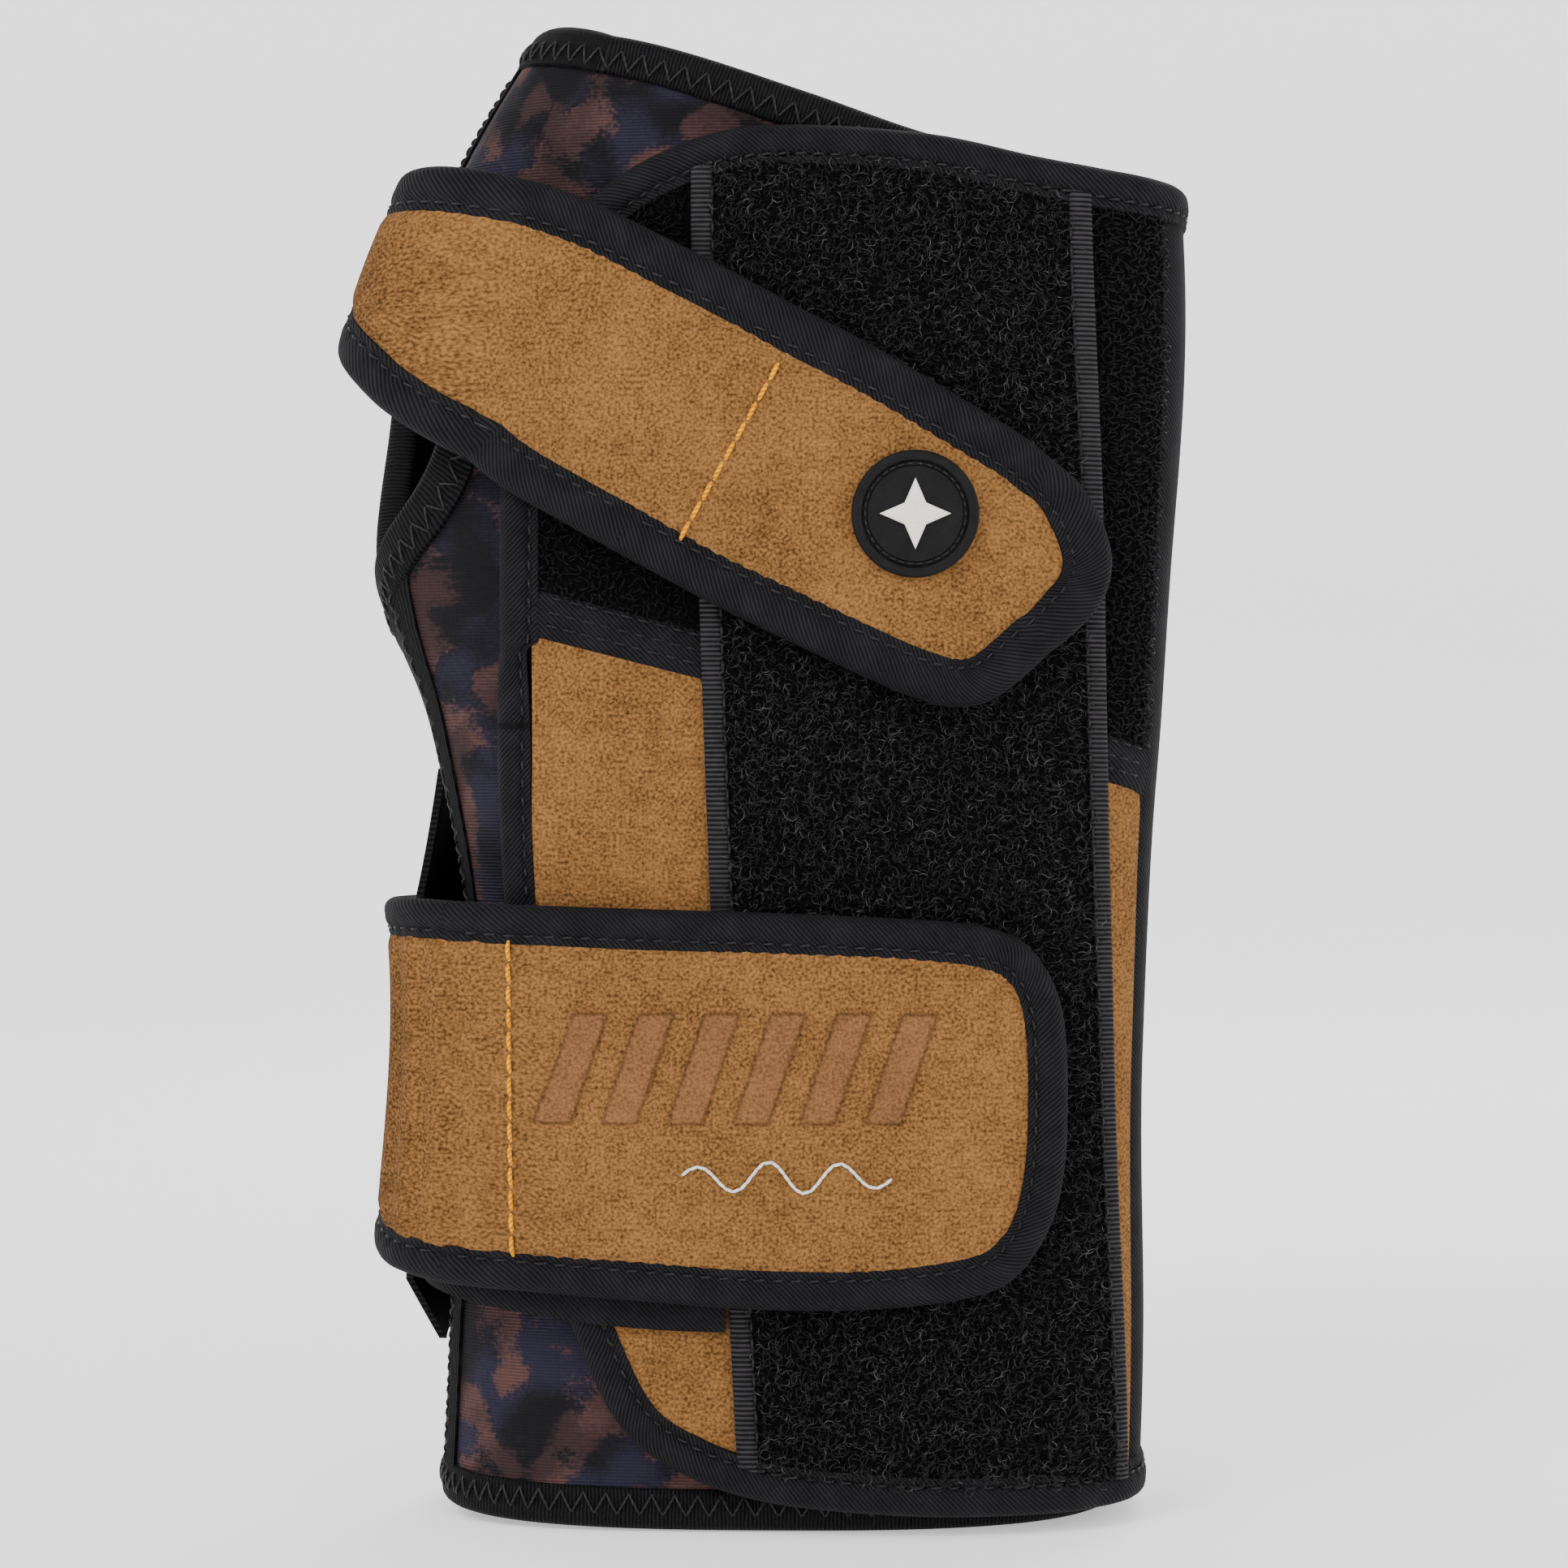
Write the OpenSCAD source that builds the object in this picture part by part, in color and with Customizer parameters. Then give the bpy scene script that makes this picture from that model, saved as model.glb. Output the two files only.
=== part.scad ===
// Long wrist guard: a soft sleeve, a wrap panel with a loop tape, and two hooked straps.
// Upright frame: fingers towards +Z, closure side towards -Y, thumb side towards -X.
// Every layer is a sheet on one oval sleeve. A spot on it is [s, z]: z is the height, and s runs
// round the sleeve and equals x across the flat of the front. s grows from the thumb side (-60)
// over the front to the little-finger side (58), and on over the back to the thumb side again.

/* [Sleeve] */
// Wall of the neoprene sleeve
liner_t = 3.0; // [2:0.5:3.4]
// Height of the hand opening's rim on the thumb side
rim_h = 198.5; // [194:0.5:202]
// Fall of the rim towards the little finger
rim_drop = 22.5; // [16:0.5:26]
// Width of the elastic binding round each opening
edge_w = 5.5; // [4:0.5:6]
// How square the oval section is
squareness = 3.0; // [2.4:0.1:3.4]

/* [Wrap panel] */
// Width of the twill binding round the wrap
wrap_binding_w = 5.4; // [4:0.2:6]
// Left side of the loop tape at its top
tape_left = -13.4; // [-16:0.2:-11]
// Width of the loop tape with its selvedges
tape_w = 50.8; // [48:0.2:52]
// Height of the suede seam at the middle of the wrap
seam_h = 107.8; // [100:0.2:112]
// Fall of the suede seam towards the little finger, mm per mm
seam_slope = 0.255; // [0.2:0.005:0.3]
// Width of the seam band above the suede
seam_band_w = 5.6; // [4:0.2:8]
// Width of each splint
splint_w = 30; // [24:1:34]

/* [Straps] */
// Width of the upper strap's binding
upper_binding_w = 6.3; // [5:0.1:7]
// Width of the lower strap's binding
lower_binding_w = 5.3; // [5:0.1:6]
// Gap between the two parts of a strap at a fold
fold_gap = 0.4; // [0.3:0.1:0.6]

/* [Badge] */
// Radius of the round badge
badge_r = 8.1; // [7:0.1:9]
// Height of the badge above the suede
badge_t = 1.6; // [1.2:0.1:2]

/* [Hidden] */

BLACK = [0.13, 0.13, 0.14];
TWILL = [0.20, 0.20, 0.21];
TAN = [0.66, 0.47, 0.24];
CAMO = [0.20, 0.17, 0.24];
CREAM = [0.88, 0.86, 0.80];
GREY = [0.55, 0.56, 0.58];

// The sleeve's outline: [height, x] of its thumb side and its little-finger side, and
// [height, half depth]. The two straps fold where the thumb side runs straight.
thumb_side = [[0, -46.8], [20, -45.6], [84, -43.9], [97, -46.4], [108, -49.2], [117, -53],
    [125, -56], [148, -55.2], [180, -43.8], [199, -32.8]];
little_side = [[0, 42.2], [25, 42.7], [60, 42.8], [90, 44.2], [105, 45.5], [125, 46.6], [163, 48.5],
    [199, 46]];
half_depth = [[0, 20.5], [60, 19.5], [120, 19.5], [160, 19], [199, 17.5]];
centre = [-3.93, -2.2];  // the origin stands under the middle of the whole guard

gap = 0.3;              // between two layers
s_thumb = -60;          // s at the thumb side's edge
s_little = 58;          // s at the little-finger side's edge
s_round = 2 * (s_little - s_thumb);
flat_share = 0.72;      // share of the half width across which s equals x

function lerp(a, b, t) = a + (b - a) * t;
function mid_x(z) = (lookup(z, thumb_side) + lookup(z, little_side)) / 2;
function half_x(z) = (lookup(z, little_side) - lookup(z, thumb_side)) / 2;
function half_y(z) = lookup(z, half_depth);
function folded(s) = s < s_thumb ? 2 * s_thumb - s : s > s_little ? 2 * s_little - s : s;

// Polar angle on the section at offset d, for a place x on its front face.
function front_angle(x, z, d) = let (a = half_x(z) + d, b = half_y(z) + d, r = x - mid_x(z))
    atan2(b * pow(1 - pow(abs(r) / a, squareness), 1 / squareness), r);
// The same for any s: round a side, the angle runs evenly from the flat's end to the side's edge.
function angle_at(s, z, d) = let (a = flat_share * half_x(z), lo = mid_x(z) - a, hi = mid_x(z) + a)
    s < lo ? lerp(front_angle(lo, z, d), 180, (lo - s) / (lo - s_thumb))
    : s > hi ? lerp(front_angle(hi, z, d), 0, (s - hi) / (s_little - hi))
    : front_angle(s, z, d);
// The point at [s, z], d out from the sleeve's outer face.
function place(s, z, d) = let (a = half_x(z) + d, b = half_y(z) + d, t = angle_at(folded(s), z, d),
    r = pow(pow(abs(cos(t)) / a, squareness) + pow(sin(t) / b, squareness), -1 / squareness))
    [mid_x(z) + r * cos(t) - centre[0], (folded(s) == s ? -r : r) * sin(t) - centre[1], z];

// A sheet: spots(u, v) gives [s, z] for u and v from 0 to 1, and inner and outer its two offsets.
module sheet(spots, nu, nv, inner, outer, closed = false) {
    cols = closed ? nu : nu + 1;
    grid = [for (j = [0:nv], i = [0:cols - 1]) spots(i / nu, j / nv)];
    n = len(grid);
    points = concat([for (q = grid) place(q[0], q[1], outer(q[0], q[1]))],
        [for (q = grid) place(q[0], q[1], inner(q[0], q[1]))]);
    at = function(i, j) j * cols + i % cols;
    quads = concat(
        [for (j = [0:nv - 1], i = [0:nu - 1]) [at(i, j), at(i, j + 1), at(i + 1, j + 1), at(i + 1, j)]],
        [for (j = [0:nv - 1], i = [0:nu - 1])
            [n + at(i, j), n + at(i + 1, j), n + at(i + 1, j + 1), n + at(i, j + 1)]],
        [for (i = [0:nu - 1]) [at(i, 0), at(i + 1, 0), n + at(i + 1, 0), n + at(i, 0)]],
        [for (i = [0:nu - 1]) [at(i, nv), n + at(i, nv), n + at(i + 1, nv), at(i + 1, nv)]],
        closed ? [] : [for (j = [0:nv - 1]) [at(0, j), n + at(0, j), n + at(0, j + 1), at(0, j + 1)]],
        closed ? [] : [for (j = [0:nv - 1]) [at(nu, j), at(nu, j + 1), n + at(nu, j + 1), n + at(nu, j)]]);
    polyhedron(points, [for (q = quads) each [[q[0], q[1], q[2]], [q[0], q[2], q[3]]]], convexity = 6);
}
function level(d) = function(s, z) d;
function level_z(z) = function(s) z;

// Curves of [s, z] points: smoothed, evenly spaced, and moved w to their left.
function bend(p, q, r, w, t) = 0.5 * (2 * q + (r - p) * t + (2 * p - 5 * q + 4 * r - w) * t * t
    + (3 * q - p - 3 * r + w) * t * t * t);
function smooth(pts, k = 4) = let (n = len(pts)) [for (i = [0:n - 2], j = [0:k - 1])
    bend(pts[max(i - 1, 0)], pts[i], pts[i + 1], pts[min(i + 2, n - 1)], j / k), pts[n - 1]];
function smooth_loop(pts, k = 3) = let (n = len(pts)) [for (i = [0:n - 1], j = [0:k - 1])
    bend(pts[(i + n - 1) % n], pts[i], pts[(i + 1) % n], pts[(i + 2) % n], j / k)];
function lengths(pts, i = 1, done = [0]) = i == len(pts) ? done
    : lengths(pts, i + 1, concat(done, [done[i - 1] + norm(pts[i] - pts[i - 1])]));
function spaced(pts, n) = let (run = lengths(pts), last = len(run) - 1,
    key = [for (i = [0:last]) [run[i], i]])
    [for (k = [0:n]) let (f = lookup(k / n * run[last], key), i = min(floor(f), last - 1))
        lerp(pts[i], pts[i + 1], f - i)];
function left_of(a, b) = let (d = b - a) [-d[1], d[0]] / norm(d);
function moved(pts, w) = let (n = len(pts))
    [for (i = [0:n - 1]) pts[i] + w * left_of(pts[max(i - 1, 0)], pts[min(i + 1, n - 1)])];
function moved_loop(pts, w) = let (n = len(pts))
    [for (i = [0:n - 1]) pts[i] + w * left_of(pts[(i + n - 1) % n], pts[(i + 1) % n])];

// A sheet between two curves of nu + 1 points each.
module between(low, high, nv, inner, outer) {
    nu = len(low) - 1;
    sheet(function(u, v) lerp(low[round(u * nu)], high[round(u * nu)], v), nu, nv, inner, outer);
}
// A closed strip between two closed curves, the outer one first.
module ring(outside, inside, inner, outer) {
    nu = len(outside);
    sheet(function(u, v) lerp(outside[round(u * nu) % nu], inside[round(u * nu) % nu], v),
        nu, 1, inner, outer, closed = true);
}
// A sheet in upright columns from s0 to s1, between the heights low(s) and high(s).
module columns(s0, s1, low, high, nu, nv, inner, outer) {
    sheet(function(u, v) let (s = lerp(s0, s1, u)) [s, lerp(low(s), high(s), v)], nu, nv, inner, outer);
}

// ---- Sleeve ----
rim_shape = [[s_thumb, 0], [-24, 0.15], [2, 0.51], [17, 0.74], [34, 0.91], [s_little, 1]];
function rim(s) = rim_h - rim_drop * lookup(folded(s), rim_shape);
edge_skin = 0.4;    // how far a binding stands into the sleeve
seam_tape_t = 0.7;  // thickness of the two tapes on the thumb-side seam
tape_back = 1;      // how far they reach round to the back
tape_front = 11.5;  // how far the lower one reaches round to the front, and twice the upper one's reach

// Edge of the thumb hole from its lowest point, past the front, over the top and down the back.
hole_edge = smooth_loop([[-59, 121.5], [-53, 128], [-47.5, 136], [-45, 145], [-46, 154], [-51, 161],
    [-57.5, 163], [-63, 158], [-65.5, 148], [-65, 136], [-62.5, 126.5]]);
hole_play = 1.6;    // between the thumb hole's binding and the panels
hole_cut = moved_loop(hole_edge, -edge_w - hole_play);
hole_top = 18;      // the point of the edge that is highest
hole_front = [for (i = [0:hole_top]) [hole_cut[i][1], hole_cut[i][0]]];
hole_back = [for (i = [hole_top:len(hole_cut) - 1]) [hole_cut[i][1], hole_cut[i][0]]];
function at_hole(z) = z > hole_front[0][0] && z < hole_front[hole_top][0];
function front_edge(z) = at_hole(z) ? max(s_thumb + gap / 2, lookup(z, hole_front)) : s_thumb + gap / 2;
function back_edge(z) = at_hole(z) ? min(s_thumb - gap / 2, lookup(z, hole_back)) : s_thumb - gap / 2;
// Rows of the two sleeve panels, closest together beside the thumb hole.
wrist_h = 108;
rows = [edge_w + gap, 20, 45, 65, 84, 97, wrist_h, 113, 118, 123, 128, 134, 141, 149, 156, 162, 166,
    170, 180, rim_h - edge_w - gap];
function row_z(s, v) = let (z = rows[round(v * (len(rows) - 1))], top = rim(s) - edge_w - gap)
    z <= wrist_h ? z : lerp(wrist_h, top, (z - wrist_h) / (rim_h - edge_w - gap - wrist_h));

module liner_front_panel() {
    color(CAMO) sheet(function(u, v) let (z = row_z(s_thumb, v),
        s = lerp(front_edge(z), s_little - gap / 2, u)) [s, row_z(s, v)],
        16, len(rows) - 1, level(-liner_t), level(0));
}
module liner_back_panel() {
    color(CAMO) sheet(function(u, v) let (z = row_z(s_thumb, v),
        s = lerp(s_little + gap / 2, back_edge(z) + s_round, u)) [s, row_z(s, v)],
        16, len(rows) - 1, level(-liner_t), level(0));
}
module hand_opening_binding() {
    color(BLACK) sheet(function(u, v) let (s = s_thumb + s_round * u) [s, rim(s) - edge_w * (1 - v)],
        56, 1, level(-liner_t - edge_skin), level(0), closed = true);
}
module cuff_binding() {
    turn = [for (i = [0:47]) s_thumb + s_round * i / 48];
    outside = [for (s = turn) let (p = place(s, edge_w, 0)) [p[0], p[1]]];
    inside = [for (s = turn) let (p = place(s, edge_w, -liner_t - edge_skin)) [p[0], p[1]]];
    color(BLACK) linear_extrude(edge_w) difference() {
        polygon(outside);
        polygon(inside);
    }
}
module thumb_hole_binding() {
    color(BLACK) ring(moved_loop(hole_edge, -edge_w), hole_edge, level(-liner_t - edge_skin), level(0));
}
module thumb_side_seam_tape() {
    color(BLACK) columns(s_thumb - tape_back, s_thumb + tape_front, function(s) edge_w + gap,
        function(s) hole_front[0][0] - 1, 6, 12, level(gap), level(gap + seam_tape_t));
}
module hand_edge_tape() {
    color(BLACK) columns(s_thumb - tape_back, s_thumb + tape_front / 2,
        function(s) hole_front[hole_top][0] + 1, function(s) rim(s) - edge_w - gap, 3, 4,
        level(gap), level(gap + seam_tape_t));
}

// ---- Wrap panel: one bound panel from the front, round the little-finger side, to the palm ----
wrap_left = -38.2;      // s of the wrap's straight left edge
wrap_right = 140;       // s of its right edge, on the palm side
wrap_low = smooth([[wrap_left, 104], [wrap_left, 80], [-37, 62], [-34, 42], [-29.3, 27.6], [-23, 14.5],
    [-15.5, 8.6], [-4, 4.6], [13.5, 2.8], [30, 2.4], [44, 2.4], [58, 2.4], [71, 2.4], [84, 2.4],
    [112, 2.6], [130, 4.5], [138, 12], [wrap_right, 24], [wrap_right, 104]]);
wrap_high = smooth([[wrap_left, 104], [wrap_left, 136], [-36.8, 151], [-31.5, 166], [-25, 174],
    [-15, 179.6], [-3, 182], [16.7, 181], [31.5, 178.2], [44, 176.6], [58, 176], [71, 176.2], [84, 177],
    [112, 180], [130, 179], [138, 172], [wrap_right, 158], [wrap_right, 104]]);
wrap_outline = concat(wrap_low, [for (i = [len(wrap_high) - 2:-1:1]) wrap_high[i]]);
inner_low = moved(wrap_low, wrap_binding_w + gap);
inner_high = moved(wrap_high, -wrap_binding_w - gap);
panel_left = wrap_left + wrap_binding_w + 2 * gap;
gusset_s = [46.4, 74];  // the strip that turns round the little-finger side
panel_right = wrap_right - wrap_binding_w - 2 * gap;
wrap_bottom = function(s) lookup(s, inner_low);
wrap_top = function(s) lookup(s, inner_high);
seam = function(s) seam_h - seam_slope * s;

// Offsets of the wrap's layers: lining, core (splint and foam), face and tape.
lining_d = [0.3, 0.8];
core_d = [1.1, 2.6];
face_d = [2.9, 3.9];
tape_d = [4.2, 5.6];
binding_d = [0.3, 4.6];
tape_top = 174;         // height of the loop tape's upper end
tape_lean = 6.2;        // how far it bends to the right on its way down
function tape_edge(z) = tape_left + tape_lean * pow(max(tape_top - z, 0) / (tape_top - edge_w), 1.5);
splint_mid = tape_left + tape_w / 2;
dorsal_splint_z = [20, 164];
foam_play = 1;          // between the foam and the splint and bindings

module wrap_lining() {
    color(BLACK) columns(panel_left, gusset_s[0] - gap, wrap_bottom, wrap_top,
        14, 8, level(lining_d[0]), level(lining_d[1]));
}
module dorsal_splint() {
    color(GREY) columns(splint_mid - splint_w / 2, splint_mid + splint_w / 2, level_z(dorsal_splint_z[0]),
        level_z(dorsal_splint_z[1]), 8, 8, level(core_d[0]), level(core_d[1]));
}
module wrap_foam() {
    low = function(s) wrap_bottom(s) + foam_play;
    high = function(s) wrap_top(s) - foam_play;
    color(BLACK) {
        columns(panel_left + gap, splint_mid - splint_w / 2 - foam_play, low, high,
            8, 8, level(core_d[0]), level(core_d[1]));
        columns(splint_mid + splint_w / 2 + foam_play, gusset_s[0] - foam_play, low, high,
            6, 8, level(core_d[0]), level(core_d[1]));
    }
}
module wrap_loop_panel() {
    color(BLACK) columns(panel_left, gusset_s[0] - gap, function(s) seam(s) + seam_band_w + gap,
        wrap_top, 14, 4, level(face_d[0]), level(face_d[1]));
}
module wrap_seam_band() {
    color(TWILL) columns(panel_left, gusset_s[0] - gap, function(s) seam(s) + gap,
        function(s) seam(s) + seam_band_w, 12, 1, level(face_d[0]), level(face_d[1]));
}
module wrap_suede_panel() {
    color(TAN) columns(panel_left, gusset_s[0] - gap, wrap_bottom, seam,
        14, 6, level(face_d[0]), level(face_d[1]));
}
module wrap_binding() {
    color(TWILL) ring(wrap_outline, moved_loop(wrap_outline, wrap_binding_w),
        level(binding_d[0]), level(binding_d[1]));
}
module loop_tape() {
    at = function(u, z) tape_edge(z) + tape_w * u;
    color(BLACK) sheet(function(u, v) let (z = lerp(wrap_bottom(at(u, edge_w)) + gap,
        wrap_top(at(u, tape_top)) - gap, v)) [at(u, z), z], 14, 10, level(tape_d[0]), level(tape_d[1]));
}
module side_gusset() {
    color(TWILL) columns(gusset_s[0], gusset_s[1], wrap_bottom, wrap_top,
        8, 8, level(lining_d[0]), level(face_d[1] - 0.4));
}
band_s = [s_thumb + 2, -9.1];  // from the thumb side to the loop tape
band_low = 26.6;        // lowest height of the elastic band's edge, which shows under the lower strap
band_bow = 0.0028;      // how fast that edge rises on both sides, per mm
band_top = 40;
module cuff_elastic_band() {
    color(TWILL) columns(band_s[0], band_s[1], function(s) band_low + band_bow * pow(s + 8, 2),
        level_z(band_top), 10, 2, level(binding_d[1] + gap), level(strap_lift - gap));
}

// ---- Palm side ----
palm_mid = 112;         // s of the middle of the palm splint and its pocket
palm_splint_z = [16, 150];
pocket_half = 20;
pocket_z = [12, 104];
patch_mid = [107.4, 139.8];
patch_half = [25.6, 30.4];
patch_rim = 4;
// Offsets of the palm side's layers.
palm_base_d = [0.3, 1];
palm_splint_d = [1.3, 2.8];
pocket_d = [3.1, 3.9];
pad_d = [3.1, 5.6];
patch_d = [5.9, 6.9];
function oval(mid, half, n) = [for (i = [0:n - 1]) let (t = 360 * i / n)
    mid + [half[0] * sign(cos(t)) * sqrt(abs(cos(t))), half[1] * sign(sin(t)) * sqrt(abs(sin(t)))]];
// A rounded patch in columns: half its height at a share t of its half width.
module patch(half, nu, nv, inner, outer) {
    sheet(function(u, v) let (t = (2 * u - 1) * 0.985)
        patch_mid + [half[0] * t, half[1] * (2 * v - 1) * pow(1 - pow(t, 4), 0.25)], nu, nv, inner, outer);
}
module palm_base_panel() {
    color(BLACK) columns(gusset_s[1] + gap, panel_right, wrap_bottom, wrap_top,
        10, 8, level(palm_base_d[0]), level(palm_base_d[1]));
}
module palm_splint() {
    color(GREY) columns(palm_mid - splint_w / 2, palm_mid + splint_w / 2, level_z(palm_splint_z[0]),
        level_z(palm_splint_z[1]), 8, 8, level(palm_splint_d[0]), level(palm_splint_d[1]));
}
module palm_splint_pocket() {
    color(TWILL) columns(palm_mid - pocket_half, palm_mid + pocket_half, level_z(pocket_z[0]),
        level_z(pocket_z[1]), 8, 6, level(pocket_d[0]), level(pocket_d[1]));
}
module palm_foam_pad() {
    color(BLACK) patch(patch_half - [patch_rim + foam_play, patch_rim + foam_play], 12, 4,
        level(pad_d[0]), level(pad_d[1]));
}
module palm_suede_patch() {
    color(TAN) patch(patch_half - [patch_rim + gap, patch_rim + gap], 12, 4,
        level(patch_d[0]), level(patch_d[1]));
}
module palm_patch_binding() {
    inside = oval(patch_mid, patch_half - [patch_rim, patch_rim], 40);
    color(TWILL) ring(oval(patch_mid, patch_half, 40), inside, level(pad_d[0]), level(patch_d[1] + gap));
}

// ---- Straps ----
strap_lift = 5.9;       // inner face of a strap on the loop tape
strap_t = 3.9;          // a strap over its binding
root_s = -94.5;         // where a strap is sewn down on the palm side
hook_d = [0, 1];
tip_backing_d = [1.3, 2.1];
backing_d = [0.8, 2.1];
suede_d = [2.4, 3.7];
upper_lift = [[root_s, 1.6], [-84, 1.6], [s_thumb, 2.9], [-44, 4.8], [-38, 5.9], [44, 5.9]];
lower_lift = [[root_s, 1.9], [-84, 4.2], [s_thumb, 8], [-50, 7.2], [-40, 5.9], [44, 5.9]];
function over(lift, d) = function(s, z) lookup(s, lift) + d;
// Ends of the lines at which the hooked ends peel open, on each strap's lower and upper edge.
upper_peel = [[-17.2, 123.4], [1.2, 157.4]];
lower_peel = [[-35.5, 31.9], [-35.5, 81.4]];

upper_low = smooth([[root_s, 154], [-84, 155], [-72, 156.4], [s_thumb, 156.2], [-55, 153.5], [-50.8, 149.6],
    [-47.6, 145.2], [-43.8, 140.4], [-38.4, 135.5], [-31.2, 131.2], [-24.5, 127.4], upper_peel[0]]);
upper_high = smooth([[root_s, 177.5], [-84, 178], [s_thumb, 178.6], [-47, 177.8], [-41, 176.8],
    [-34.8, 174.8], [-26.5, 171.7], [-17.4, 167.2], [-9.4, 163.1], upper_peel[1]]);
upper_tip = smooth([upper_peel[0], [-8.3, 118.7], [10, 110], [16.4, 107.5], [20.3, 106.7], [24.4, 107.3],
    [28.3, 109.8], [33.6, 114.8], [37, 119.7], [38.1, 125], [37.2, 130.7], [35, 136], [31, 140.2], [25, 144],
    [10.4, 152.6], upper_peel[1]]);
lower_low = smooth([[root_s, 35], [-84, 35.2], [s_thumb, 35.4], [-50, 33.5], [-42, 32.3], lower_peel[0]]);
lower_high = smooth([[root_s, 81], [-84, 81.5], [s_thumb, 81.8], [-48, 82], lower_peel[1]]);
lower_tip = smooth([lower_peel[0], [-21.3, 31], [-5.5, 29.9], [10.5, 29.9], [23.4, 31.5], [29, 34.5],
    [32.3, 40.2], [33.8, 48], [34.1, 58], [33.8, 66], [32.7, 71.4], [30.2, 75.8], [25.8, 78.2], [18.4, 79.4],
    [-1.5, 80.4], [-18, 80.9], lower_peel[1]]);

// The part of a curve from s0 to s1 in n steps.
function clipped(pts, s0, s1, n) = [for (i = [0:n]) let (s = lerp(s0, s1, i / n)) [s, lookup(s, pts)]];
// The tip's outline inset by w, as a lower and an upper curve that end near the nose.
function tip_inner(tip, w, n) = let (all = moved(spaced(tip, 2 * n + 1), w))
    [[for (i = [0:n]) all[i]], [for (i = [0:n]) all[2 * n + 1 - i]]];
// Both curves of a strap, between two places and inset by w.
module strap_part(low, high, ends, w, nu, nv, inner, outer) {
    a = moved(clipped(low, ends[0][0], ends[1][0], nu), w);
    b = moved(clipped(high, ends[0][1], ends[1][1], nu), -w);
    between(a, b, nv, inner, outer);
}
module strap_edges(low, high, ends, w, nu, inner, outer) {
    a = clipped(low, ends[0][0], ends[1][0], nu);
    b = clipped(high, ends[0][1], ends[1][1], nu);
    between(a, moved(a, w), 1, inner, outer);
    between(moved(b, -w), b, 1, inner, outer);
}
module tip_part(tip, w, n, nv, inner, outer) {
    curves = tip_inner(tip, w, n);
    between(curves[0], curves[1], nv, inner, outer);
}
module tip_edge(tip, w, n, inner, outer) {
    a = spaced(tip, n);
    between(a, moved(a, w), 1, inner, outer);
}
// Ends of a strap's parts, as [s on the lower curve, s on the upper curve].
half_gap = fold_gap / 2;
root_ends = [[root_s, root_s], [s_thumb - half_gap, s_thumb - half_gap]];
upper_mid_ends = [[s_thumb + half_gap, s_thumb + half_gap],
    [upper_peel[0][0] - fold_gap, upper_peel[1][0] - fold_gap]];
lower_mid_ends = [[s_thumb + half_gap, s_thumb + half_gap],
    [lower_peel[0][0] - fold_gap, lower_peel[1][0] - fold_gap]];

anchor_t = 1;           // thickness of the twill that a strap is sewn to
upper_anchor_end = -73;
upper_anchor_z = [158, 174];
module upper_strap_anchor() {
    color(TWILL) columns(root_s, upper_anchor_end, level_z(upper_anchor_z[0]), level_z(upper_anchor_z[1]),
        6, 2, level(gap), level(gap + anchor_t));
}
// The tab stands off the sleeve behind the lower strap and comes back to it above and below.
tab_rise = [[20, 0], [30, 1], [82, 1], [99, 0]];
tab_low = [[root_s, 28], [s_thumb - 1, 22]];
tab_high = [[root_s, 88], [s_thumb - 1, 99]];
function tab_lift(d) = function(s, z) gap + d + lookup(z, tab_rise) * (lookup(s, lower_lift) - 1.6);
module lower_strap_anchor() {
    color(TWILL) columns(tab_low[0][0], tab_low[1][0], function(s) lookup(s, tab_low),
        function(s) lookup(s, tab_high), 6, 10, tab_lift(0), tab_lift(anchor_t));
}
module upper_strap_root_suede() {
    color(TAN) strap_part(upper_low, upper_high, root_ends, upper_binding_w + gap, 5, 2,
        over(upper_lift, suede_d[0]), over(upper_lift, suede_d[1]));
}
module upper_strap_root_backing() {
    color(TWILL) strap_part(upper_low, upper_high, root_ends, upper_binding_w + gap, 5, 2,
        over(upper_lift, backing_d[0]), over(upper_lift, backing_d[1]));
}
module upper_strap_root_binding() {
    color(TWILL) strap_edges(upper_low, upper_high, root_ends, upper_binding_w, 5,
        over(upper_lift, 0), over(upper_lift, strap_t));
}
module upper_strap_mid_suede() {
    color(TAN) strap_part(upper_low, upper_high, upper_mid_ends, upper_binding_w + gap, 12, 3,
        over(upper_lift, suede_d[0]), over(upper_lift, suede_d[1]));
}
module upper_strap_mid_backing() {
    color(TWILL) strap_part(upper_low, upper_high, upper_mid_ends, upper_binding_w + gap, 12, 2,
        over(upper_lift, backing_d[0]), over(upper_lift, backing_d[1]));
}
module upper_strap_mid_binding() {
    color(TWILL) strap_edges(upper_low, upper_high, upper_mid_ends, upper_binding_w, 12,
        over(upper_lift, 0), over(upper_lift, strap_t));
}
module upper_strap_tip_suede() {
    color(TAN) tip_part(upper_tip, upper_binding_w + gap, 12, 3,
        over(upper_lift, suede_d[0]), over(upper_lift, suede_d[1]));
}
module upper_strap_tip_backing() {
    color(TWILL) tip_part(upper_tip, upper_binding_w + gap, 12, 2,
        over(upper_lift, tip_backing_d[0]), over(upper_lift, tip_backing_d[1]));
}
module upper_strap_tip_binding() {
    color(TWILL) tip_edge(upper_tip, upper_binding_w, 28, over(upper_lift, 0), over(upper_lift, strap_t));
}
module upper_strap_hook_patch() {
    color(BLACK) tip_part(upper_tip, upper_binding_w + gap, 12, 2,
        over(upper_lift, hook_d[0]), over(upper_lift, hook_d[1]));
}
module lower_strap_root_suede() {
    color(TAN) strap_part(lower_low, lower_high, root_ends, lower_binding_w + gap, 5, 2,
        over(lower_lift, suede_d[0]), over(lower_lift, suede_d[1]));
}
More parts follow.
